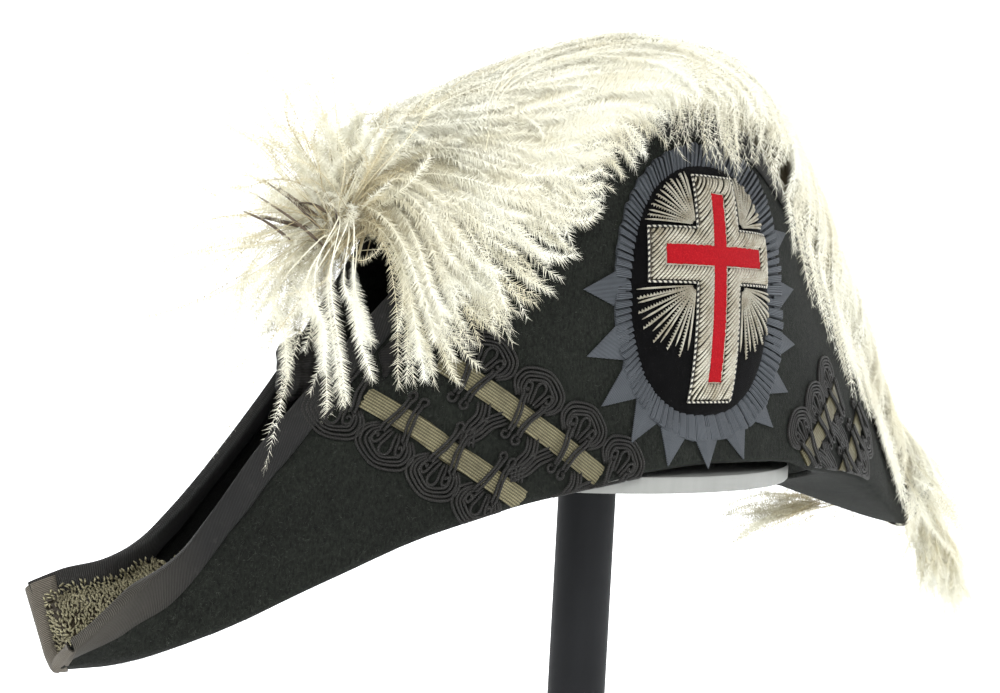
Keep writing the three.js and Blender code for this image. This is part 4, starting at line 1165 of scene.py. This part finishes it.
def ribbon_points():
    """Ribbon folded to points, each turned a little the same way round the badge."""
    rng = np.random.default_rng(14)
    parts = Parts()
    rows = np.linspace(0, 1, 10)[:, None, None]
    across = np.linspace(-1, 1, 11)[None, :, None]
    for k in range(-5, 7):
        angle = -math.pi / 2 + k * math.pi / 10 + rng.normal(0, 0.012)
        root = np.array(oval(angle, 5.0)) + [0.6 * RING_SHIFT, 0]
        ahead = unit(np.array(oval(angle + 0.02, 5.0)) + [0.6 * RING_SHIFT, 0] - root)
        out = np.array([ahead[1], -ahead[0]])
        reach = 17.0 + 1.5 * abs(math.cos(angle)) + rng.normal(0, 0.5)
        tip = root + out * reach + ahead * (2.6 + rng.normal(0, 0.9))
        half = 8.6 * rng.uniform(0.93, 1.06)
        flat = (root + ahead * half * across) * (1 - rows) + tip * rows
        ridge = rng.uniform(0.9, 1.5) * (1 - np.abs(across[..., 0] + 0.15)) * (1 - rows[..., 0])
        curl = rng.uniform(0.3, 1.2) * rows[..., 0] ** 2
        top, bottom = (on_badge(flat[..., 0], flat[..., 1], low + ridge + curl) for low in (0.9, 0.4))
        loop = np.concatenate([top, bottom[:, ::-1]], axis=1)
        place = np.stack([(flat - root) @ ahead, (flat - root) @ out], axis=-1)
        uv = np.concatenate([place, place[:, ::-1]], axis=1).reshape(-1, 2)
        parts.collect(loop.reshape(-1, 3), grid_faces(*loop.shape[:2], closed=True), uv)
    points, faces, uv = parts.joined()
    add_mesh("folded_points", points, faces, "slate_ribbon", uv=uv, smooth=False, replaces=("ribbon_points",))


def in_cross(u, v, figure, grow=0.0):
    upright = (np.abs(u) <= figure["bar"] / 2 + grow) & (np.abs(v) <= figure["height"] / 2 + grow)
    beside = np.abs(v - figure["rise"]) <= figure["arm"] / 2 + grow
    return upright | ((np.abs(u) <= figure["span"] / 2 + grow) & beside)


def cross_corners(figure, grow=0.0):
    bar, tall, span = figure["bar"] / 2 + grow, figure["height"] / 2 + grow, figure["span"] / 2 + grow
    low, high = figure["rise"] - figure["arm"] / 2 - grow, figure["rise"] + figure["arm"] / 2 + grow
    right = [(bar, -tall), (bar, low), (span, low), (span, high), (bar, high), (bar, tall)]
    return right + [(-u, v) for u, v in reversed(right)]


def edge_distance(u, v, corners):
    """How far a point lies from the outline through the corners."""
    best = np.full(np.shape(u), 1e9)
    for (au, av), (bu, bv) in zip(corners, corners[1:] + corners[:1]):
        length = (bu - au) ** 2 + (bv - av) ** 2
        share = np.clip(((u - au) * (bu - au) + (v - av) * (bv - av)) / length, 0, 1)
        best = np.minimum(best, np.hypot(u - au - share * (bu - au), v - av - share * (bv - av)))
    return best


def padded_lift(u, v):
    """The stuffed silver border: round between the cross's outline and the red inlay."""
    outer = edge_distance(u, v, cross_corners(CROSS))
    inner = edge_distance(u, v, cross_corners(INLAY))
    share = outer / np.maximum(outer + inner, 1e-6)
    return pad_lift(u, v) + 0.2 + 1.7 * np.sqrt(np.maximum(0, np.sin(math.pi * np.clip(share, 0, 1))))


def silver_strands():
    """Slanted strands laid side by side over the border's stuffing."""
    rng = np.random.default_rng(21)
    lines, out = [], []
    s = np.arange(-75, 75, 0.7)
    for offset in np.arange(-80, 80, 1.72):
        turn = math.radians(48) + 0.004 * rng.normal()
        v = s * math.sin(turn)
        ends = np.clip((np.abs(v) - CROSS["height"] / 2 + 9) / 9, 0, 1) ** 2 * np.sign(v)
        u = offset + s * math.cos(turn) - ends * 3
        inside = in_cross(u, v, CROSS, -0.2) & ~in_cross(u, v, INLAY, 0.2)
        marks = np.flatnonzero(np.diff(np.concatenate([[0], inside.astype(int), [0]])))
        for start, end in zip(marks[::2], marks[1::2]):
            if end - start >= 3:
                part = u[start:end], v[start:end]
                lines.append(on_badge(*part, padded_lift(*part)))
                out.append(facing_badge(*part))
    silver = "silver_bullion"
    add_tubes("silver_strands", lines, STRAND_RADIUS, silver, replaces=("silver_cross",), normals=out)


def outline_cord(name, figure, grow, radius, lift, finish):
    """A cord along a cross's outline."""
    corners = cross_corners(figure, grow)
    path = []
    for (au, av), (bu, bv) in zip(corners, corners[1:] + corners[:1]):
        count = max(2, int(math.hypot(bu - au, bv - av) / 0.8))
        share = np.arange(count) / count
        path.append(np.stack([au + (bu - au) * share, av + (bv - av) * share]))
    path.append(path[0][:, :1])
    u, v = np.concatenate(path, axis=1)
    line = on_badge(u, v, pad_lift(u, v) + lift)
    add_tubes(name, [line], radius, finish, sides=7, normals=[facing_badge(u, v)])


def cross_bed():
    """The stuffing under the silver strands, as small square cells. Its dark colour is painted shade in the
    gaps between the strands.
    """
    cells = []
    step = 1.1
    for u in np.arange(-33, 33, step):
        for v in np.arange(-46, 46, step):
            middle = (u + step / 2, v + step / 2)
            if in_cross(*middle, CROSS, -0.3) and not in_cross(*middle, INLAY, -0.3):
                cells.append(((u, v), (u + step, v), (u + step, v + step), (u, v + step)))
    flat = np.round(np.array(cells).reshape(-1, 2), 3)
    corners, index = np.unique(flat, axis=0, return_inverse=True)
    u, v = corners.T
    add_mesh("cross_bed", on_badge(u, v, padded_lift(u, v) - 0.6), index.reshape(-1, 4), "strand_gap_shade")


def red_inlay():
    rng = np.random.default_rng(2)
    us = np.unique(np.concatenate([np.linspace(-26, 26, 66), [-3.3, 3.3]]))
    vs = np.unique(np.concatenate([np.linspace(-38, 38, 96), [8.3, 16.3]]))
    inside = in_cross(0.5 * (us[:-1, None] + us[1:, None]), 0.5 * (vs[None, :-1] + vs[None, 1:]), INLAY)
    u, v = np.meshgrid(us, vs, indexing="ij")
    at_edge = edge_distance(u, v, cross_corners(INLAY)) < 0.1
    ragged_u, ragged_v = (np.where(at_edge, rng.normal(0, 0.16, u.shape), 0) for _ in range(2))
    lift = pad_lift(u, v) + 0.95 + rng.normal(0, 0.04, u.shape)
    points = on_badge(u + ragged_u, v + ragged_v, lift).reshape(-1, 3)
    used, faces = np.unique(grid_faces(*u.shape)[inside.ravel()], return_inverse=True)
    add_mesh("red_cross", points[used], faces.reshape(-1, 4), "red_felt", replaces=("red_inlay",))


def ray(k, turn, up, rng):
    """One ray of a fan. Every other ray is beaded."""
    angle = math.radians(4 + 82 * k / 12) + rng.normal(0, 0.012)
    beaded = k % 2 == 1
    length = (24.0 if up > 0 else 28.0) * (0.93 + 0.1 * beaded) * rng.uniform(0.93, 1.04)
    s = np.linspace(0.06, 1, 44 if beaded else 14)
    u = turn * CROSS["bar"] / 2 + turn * (1.6 + length * s * math.cos(angle))
    v = CROSS["rise"] + up * CROSS["arm"] / 2 + up * (1.6 + length * s * math.sin(angle))
    keep = pad_share(u, v, 1.5) < 1
    u, v, s = u[keep], v[keep], s[keep]
    girth = (0.17 + 0.32 * np.sqrt(s)) * (1 - 0.35 * (s > 0.92))
    if beaded:
        swing = np.cos(np.arange(len(s)) * math.pi)
        girth = (girth + 0.06) * (1.0 + 0.5 * swing)
        u = u - turn * 0.3 * math.sin(angle) * np.roll(swing, 1)
        v = v + up * 0.3 * math.cos(angle) * np.roll(swing, 1)
    path = on_badge(u, v, pad_lift(u, v) + 0.15 + 0.8 * (1 - s))
    points, faces, uv = tubes([path], 1.0, normals=[facing_badge(u, v)])
    centre = np.repeat(path, 6, axis=0)
    return centre + (points - centre) * np.repeat(girth, 6)[:, None], faces, uv


def rays():
    """Fans of rays in the corners between the cross's arms."""
    rng = np.random.default_rng(17)
    for side, turn in (("front", -1), ("rear", 1)):
        for level, up in (("upper", 1), ("lower", -1)):
            parts = Parts()
            for k in range(13):
                parts.collect(*ray(k, turn, up, rng))
            points, faces, uv = parts.joined()
            name = f"{level}_{side}"
            add_mesh(f"fan_{name}", points, faces, "silver_bullion", uv=uv, replaces=(f"rays_{name}",))


def badge_pieces():
    velvet_pad()
    pleated_ribbon()
    ribbon_points()
    silver_strands()
    cross_bed()
    outline_cord("cross_cord", CROSS, 0.3, 0.5, 0.5, "purl_cord")
    outline_cord("inlay_cord", INLAY, 0.25, 0.36, 0.6, "silver_bullion")
    red_inlay()
    rays()


# ---- lace and braid


class Group:
    """One group of lace and braid. `along` climbs its bands and `across` runs towards the badge."""

    def __init__(self, name, x, z, climb, outward):
        self.name, self.x, self.z, self.climb, self.outward = name, x, z, climb, outward

    def place(self, along, across, lift):
        along, across = floats(along, across)
        wall = WALLS[NEAR]
        x = self.x + self.climb[0] * along - self.outward * self.climb[1] * across
        z = self.z + self.climb[1] * along + self.outward * self.climb[0] * across
        z = np.clip(z, wall.fold(x) + 0.8, wall.top(x) - 1)
        return wall.place(x, z, lift), wall.facing(x, z)


FRONT_GROUP = Group("front", -57, 231, (-0.8, 0.598), -1)
REAR_GROUP = Group("rear", 61.5, 234.5, (0.83, 0.56), 1)
LOWER_BAND = -27  # how far across the lower band runs from the upper one
BANDS = {  # where each band starts along and across, and its length
    "front": ((0, 0, 70), (21, LOWER_BAND, 60)),
    "rear": ((0, 0, 52), (21, LOWER_BAND, 48)),
}
LACE_WIDTH = 8.6


def lace(group, number, start, across, length):
    along = np.arange(start, start + length + 0.1, 1.0)
    rng = np.random.default_rng(number)
    sway = Smooth(np.linspace(start, start + length, 7), rng.normal(0, 0.25, 7))(along)
    shares = np.linspace(-0.5, 0.5, 9)
    a = np.repeat(along[:, None], 9, axis=1)
    a[[0, -1]] += rng.normal(0, 0.5, (2, 9))
    c = across + sway[:, None] + shares[None] * LACE_WIDTH
    lift = 1.0 + 0.25 * np.cos(shares * math.pi)[None] + 0.12 * np.sin(along * 0.6)[:, None]
    top, _ = group.place(a, c, lift)
    bottom, _ = group.place(a[:, ::-1], c[:, ::-1], np.full(a.shape, 0.4))
    uv = np.stack([a, c - across], axis=-1)
    uv = np.concatenate([uv, uv[:, ::-1]], axis=1)
    name = f"{group.name}_{number}"
    loop = np.concatenate([top, bottom], axis=1)
    add_loops(f"lace_band_{name}", loop, "tarnished_lace", uv=uv, replaces=(f"lace_{name}",))


def left_of(path):
    along = unit(np.gradient(path, axis=0))
    return np.stack([-along[:, 1], along[:, 0]], axis=-1)


def flat_curve(points, middle, start, side, scale, mirror=1, per_span=5):
    """A smooth flat path from points given beside a scallop's middle, and mirrored if asked."""
    return curve_through([(middle + mirror * p * scale, start + side * q) for p, q in points], per_span)


def scallop(*place):
    """One repeat of the braid's outer row: four arches round a trefoil, and its inner curls.

    Flat paths of (along, across), with the cords' heights. `place` is the scallop's middle, its start
    across, its side (1 above a band and -1 below it) and its scale.
    """
    cords = []

    def arch(half, peak, height):
        points = [(-p, q) for p, q in half] + peak + half[::-1]
        cords.append((flat_curve(points, *place), height))

    for k in range(4):
        wide, tall = 9.9 - 1.4 * k, 15.6 - 1.4 * k
        half = [(0.62 * wide, 0.4 + 0.5 * k), (0.93 * wide, 4), (wide, 7.5), (0.8 * wide, 0.78 * tall)]
        arch(half, [(0, tall)], 0.95 + 0.1 * (k % 2))
    arch([(0.6, 0.6), (1.1, 4), (1.75, 8), (0.9, 10.2)], [], 1.0)
    curl = [(1.6, 0.2), (2.6, 3.2), (3.1, 6), (4.1, 7.9), (5.5, 6.9), (5.2, 5.0), (4.0, 4.4), (3.9, 5.8)]
    for mirror in (-1, 1):
        cords.append((flat_curve(curl, *place, mirror), 1.05))
    return cords


def crossing(*place):
    """Doubled cords that cross a band from a scallop and end in small curls past it."""
    cords = []
    over = [(4.2, 3.0), (3.9, 0.5), (2.6, -4.5), (1.9, -9.5), (2.0, -13.0)]
    curl = [(1.2, -12.0), (0.9, -15.0), (2.2, -16.2), (3.4, -15.0), (2.9, -13.4), (2.1, -13.9)]
    for mirror, height in ((-1, 2.1), (1, 2.5)):
        path = flat_curve(over, *place, mirror, 6)
        apart = left_of(path) * 1.3 / 2
        cords += [(path + apart, height), (path - apart, height)]
        cords.append((flat_curve(curl, *place, mirror), 1.1))
    return cords


def bundle(low, high, bow):
    """Four cords side by side in an S between two bands, from (along, across) to another."""
    s = np.linspace(0, 1, 18)
    ease = s * s * (3 - 2 * s)
    base = np.stack([low[0] + (high[0] - low[0]) * ease, low[1] + (high[1] - low[1]) * s], axis=-1)
    base[:, 0] += bow * np.sin(2 * math.pi * s)
    return [(base + left_of(base) * (k - 1.5) * 1.4, 0.9 + 0.12 * (k % 2)) for k in range(4)]


def braid(group, uppers, lowers, shift):
    """The braid round two bands: scallops outside them and S-shaped bundles between them."""
    rows = {1: [], 2: [], 3: []}
    edge = LACE_WIDTH / 2 + CORD_RADIUS
    places = [(1, middle, edge, 1, 1.0) for middle in uppers]
    places += [(3, middle, LOWER_BAND - edge, -1, 0.9) for middle in lowers]
    for row, *place in places:
        rows[row] += scallop(*place) + crossing(*place)
    for middle in uppers[:-1]:
        rows[2] += bundle((middle + 5, -4.5), (middle + 5 + shift, -22.5), 1.5)
        rows[2] += bundle((middle + 14, -4.5), (middle + 14 - shift * 0.4, -22.5), -1.5)
    rng = np.random.default_rng(len(uppers))
    for number, cords in rows.items():
        lines, out = [], []
        for path, height in cords:
            wobble = Smooth(np.linspace(0, len(path) - 1, 5), rng.normal(0, 0.12, 5))(np.arange(len(path)))
            line, facing = group.place(path[:, 0] + wobble, path[:, 1], np.full(len(path), height))
            lines.append(line)
            out.append(facing)
        name = f"{group.name}_{number}"
        add_tubes(f"cords_{name}", lines, CORD_RADIUS, "black_cord", replaces=(f"braid_{name}",), normals=out)


def lace_and_braid():
    for group in (FRONT_GROUP, REAR_GROUP):
        for number, (start, across, length) in enumerate(BANDS[group.name], 1):
            lace(group, number, start, across, length)
    braid(FRONT_GROUP, (-5, 16, 37, 58), (33.5, 50.8, 68, 85), 9)
    braid(REAR_GROUP, (6, 25, 44), (31, 48, 65), 8)


# ---- bullion in the peaks, each coil with the way out from its surface


def coil(centre, lean, crest):
    """One short coil along `lean`, bowed out by `crest`."""
    bent = 0.4 * lean
    return np.array([centre - lean, centre - bent + crest, centre + bent + crest, centre + lean])


def laid_flat(lean, up):
    return unit(lean - up * (lean @ up))


def coils_on_wall(side, xs, depths, rng):
    """Coils of bullion inside a wall's top edge. `depths` gives the band's two limits at each x."""
    wall = WALLS[side]
    coils = []
    for x in xs:
        for depth in np.arange(*depths(x), 1.4):
            t = 1 - depth / float(wall.top(x) - wall.fold(x))
            up = -wall.normal(x, t)
            centre = wall.point(x, t) + up * (3.6 + rng.uniform(0, 0.6)) + rng.normal(0, 0.2, 3)
            lean = np.array([0.5, 0.4, -1.0]) + rng.normal(0, 0.4, 3)
            coils.append((coil(centre, laid_flat(lean, up) * rng.uniform(0.8, 1.3), up * 0.6), up))
    return coils


def corner_coils(rng):
    """The few loose coils at the peak's near corner."""
    coils = []
    for _ in range(18):
        centre = np.array([-241.2, -10.6, 172.0]) + rng.normal(0, 1, 3) * [1.0, 1.5, 0.7]
        lean = unit(rng.normal(0, 1, 3)) * rng.uniform(0.9, 1.4)
        coils.append((coil(centre, lean, np.array([0, 0, 0.6])), np.array([0.0, -0.3, 1.0])))
    return coils


def stuffing_coils(end, rng):
    """Coils all over the stuffing of a peak, found by rays from above and from beyond its end."""
    node = f"tip_bullion_{end}"
    mesh = NODES[node].data
    tree = BVHTree.FromPolygons([v.co for v in mesh.vertices], [tuple(p.vertices) for p in mesh.polygons])
    low, high = (np.array(corner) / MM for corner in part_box(node))
    sign, step = (-1, 1.5) if end == "front" else (1, 2.0)
    aimed = []
    for row, x in enumerate(np.arange(low[0] + 0.5, high[0] - 0.3, step * 0.85)):
        for y in np.arange(low[1] + 0.5, high[1] - 0.5, step) + (row % 2) * step / 2:
            aimed.append(((x + 0.25 * y, y, high[2] + 9), (0, 0, -1)))
    for z in np.arange(low[2], high[2], step):
        for y in np.arange(low[1], high[1], step):
            aimed.append(((sign * 300, y, z), (-sign, 0, 0)))
    coils = []
    for place, aim in aimed:
        start = Vector(np.array(place) + rng.normal(0, 0.3, 3)) * MM
        hit, normal, _, _ = tree.ray_cast(start, Vector(aim))
        if hit is None or -normal.dot(Vector(aim)) < 0.25:
            continue
        centre, up = np.array(hit) / MM, np.array(normal)
        lean = np.array([0.35, 1.0, 0.35]) + rng.normal(0, 0.42, 3)
        lean = laid_flat(lean, up) * rng.uniform(0.75, 1.15)
        coils.append((coil(centre, lean, up * rng.uniform(0.45, 0.95)), up))
    return coils


def tip_bullion(end, seed):
    """Short coils of bullion packed over the stuffing of a peak. The stuffing is dark: painted shade between
    the coils.
    """
    finer_copy(f"tip_bullion_{end}", "coil_gap_shade", 1, wobble=0.15, wave=2.5)
    rng = np.random.default_rng(seed)
    coils = stuffing_coils(end, rng)
    if end == "front":
        near, far = np.arange(-212, -190, 1.3), np.arange(-239, -203, 1.4)
        coils += coils_on_wall(NEAR, near, lambda x: (0.4, max(9 * (-189 - x) / 23, 1.5)), rng)
        coils += coils_on_wall(FAR, far, lambda x: (rng.uniform(4.6, 6.4), 12.5), rng)
        coils += corner_coils(rng)
    lines, out = zip(*coils)
    add_tubes(f"coils_{end}", lines, COIL_RADIUS, "tarnished_bullion", sides=4, normals=out)


# ---- fuzz


def felt_fuzz():
    """Loose hairs of the fur felt."""
    rng = np.random.default_rng(77)
    for side, count in ((NEAR, 14000), (FAR, 8000)):
        wall = WALLS[side]
        x = rng.uniform(wall.first + 12, wall.last - 12, count)
        t = rng.uniform(0.0, 0.94, count)
        root, normal = wall.point(x, t), wall.normal(x, t)
        drift = rng.normal(0, 1, (count, 3)) * [1, 0.3, 1]
        drift -= normal * np.sum(drift * normal, axis=1, keepdims=True)
        heading = unit(unit(drift) + normal * rng.uniform(0.1, 0.7, (count, 1)))
        length = rng.uniform(1.0, 2.6, (count, 1))
        across = unit(np.cross(heading, normal)) * HAIR_HALF
        points = np.stack([root - across, root + across, root + heading * length], axis=1)
        add_mesh(f"felt_fuzz_{SIDES[side]}", points, np.arange(count * 3).reshape(-1, 3), "black_fuzz")


# ---- the stand and the floor

AXIS = 1e-3  # the radius at which a turned shape closes
BASE_EDGE = 4  # the radius of the turned corner round the base's top


def turned_rows(profile, segments, stretch=(1.0, 1.0)):
    """Rings of points round the vertical axis, from (radius, height) pairs."""
    angles = circle(segments)
    ring = np.stack([np.cos(angles) * stretch[0], np.sin(angles) * stretch[1]], axis=-1)
    rows = [(ring * radius, np.full((segments, 1), z)) for radius, z in profile]
    return np.stack([np.concatenate(row, axis=1) for row in rows])


def lathe(node, profile, finish, stretch=(1.0, 1.0)):
    """A turned solid in a node's place, from (radius, height) pairs, bottom to top, closed on its axis."""
    rows = turned_rows([(AXIS, profile[0][1]), *profile, (AXIS, profile[-1][1])], 128, stretch)
    piece = add_loops(f"{node}_look", rows, finish, replaces=(node,))
    piece.data.set_sharp_from_angle(angle=math.radians(50))


def stand_pieces():
    high = {node: np.array(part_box(node)[1]) / MM for node in ("stand_base", "stand_post", "stand_plate")}
    low = {node: np.array(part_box(node)[0]) / MM for node in high}
    radius, _, top = high["stand_base"]
    x, z = radius - BASE_EDGE, top - BASE_EDGE
    quarter = np.linspace(0, math.pi / 2, 6)
    corner = [(x + BASE_EDGE * math.cos(a), z + BASE_EDGE * math.sin(a)) for a in quarter]
    lathe("stand_base", [(radius - 1.5, 0), (radius, 1.5), *corner], "grey_paint")
    radius, _, top = high["stand_post"]
    lathe("stand_post", [(radius, low["stand_post"][2]), (radius, top)], "grey_paint")
    bottom, top = low["stand_plate"][2], high["stand_plate"][2]
    profile = [(0.992, bottom), (1.0, bottom + 0.8), (1.0, top - 1.0), (0.992, top)]
    lathe("stand_plate", profile, "pale_paint", high["stand_plate"][:2])


def backdrop():
    """A pale floor that turns up into a backdrop on every side. Its profile is in metres."""
    flat, bend, wall = 2.4, 1.2, 4.0
    quarter = np.linspace(0.1, math.pi / 2, 10)
    turned = [(flat + bend * math.sin(a), bend - bend * math.cos(a)) for a in quarter]
    rows = turned_rows([(1e-4, 0.0), (flat, 0.0), *turned, (flat + bend, wall)], 64)
    mesh = bpy.data.meshes.new("backdrop")
    mesh.from_pydata(rows.reshape(-1, 3).tolist(), [], grid_faces(*rows.shape[:2], closed=True).tolist())
    mesh.polygons.foreach_set("use_smooth", np.full(len(mesh.polygons), True))
    finish = Finish("studio_white", 0.9)
    finish.colour(finish.mix(finish.noise(900, 1), (0.86, 0.87, 0.88), 0.92))
    finish.shader.inputs["Emission Color"].default_value = COOL_WHITE
    finish.shader.inputs["Emission Strength"].default_value = 0.6
    finish.material.cycles.emission_sampling = "NONE"
    mesh.materials.append(finish.material)
    linked("backdrop", mesh)


# ---- everything

add_camera()
add_lights()
backdrop()
felt_pieces()
ribbon_pieces()
plume_pieces()
badge_pieces()
lace_and_braid()
tip_bullion("front", 31)
tip_bullion("rear", 32)
felt_fuzz()
stand_pieces()

for quill in ("quill_upper", "quill_lower"):
    NODES[quill].data.materials.clear()
    NODES[quill].data.materials.append(FINISHES["quill_horn"])
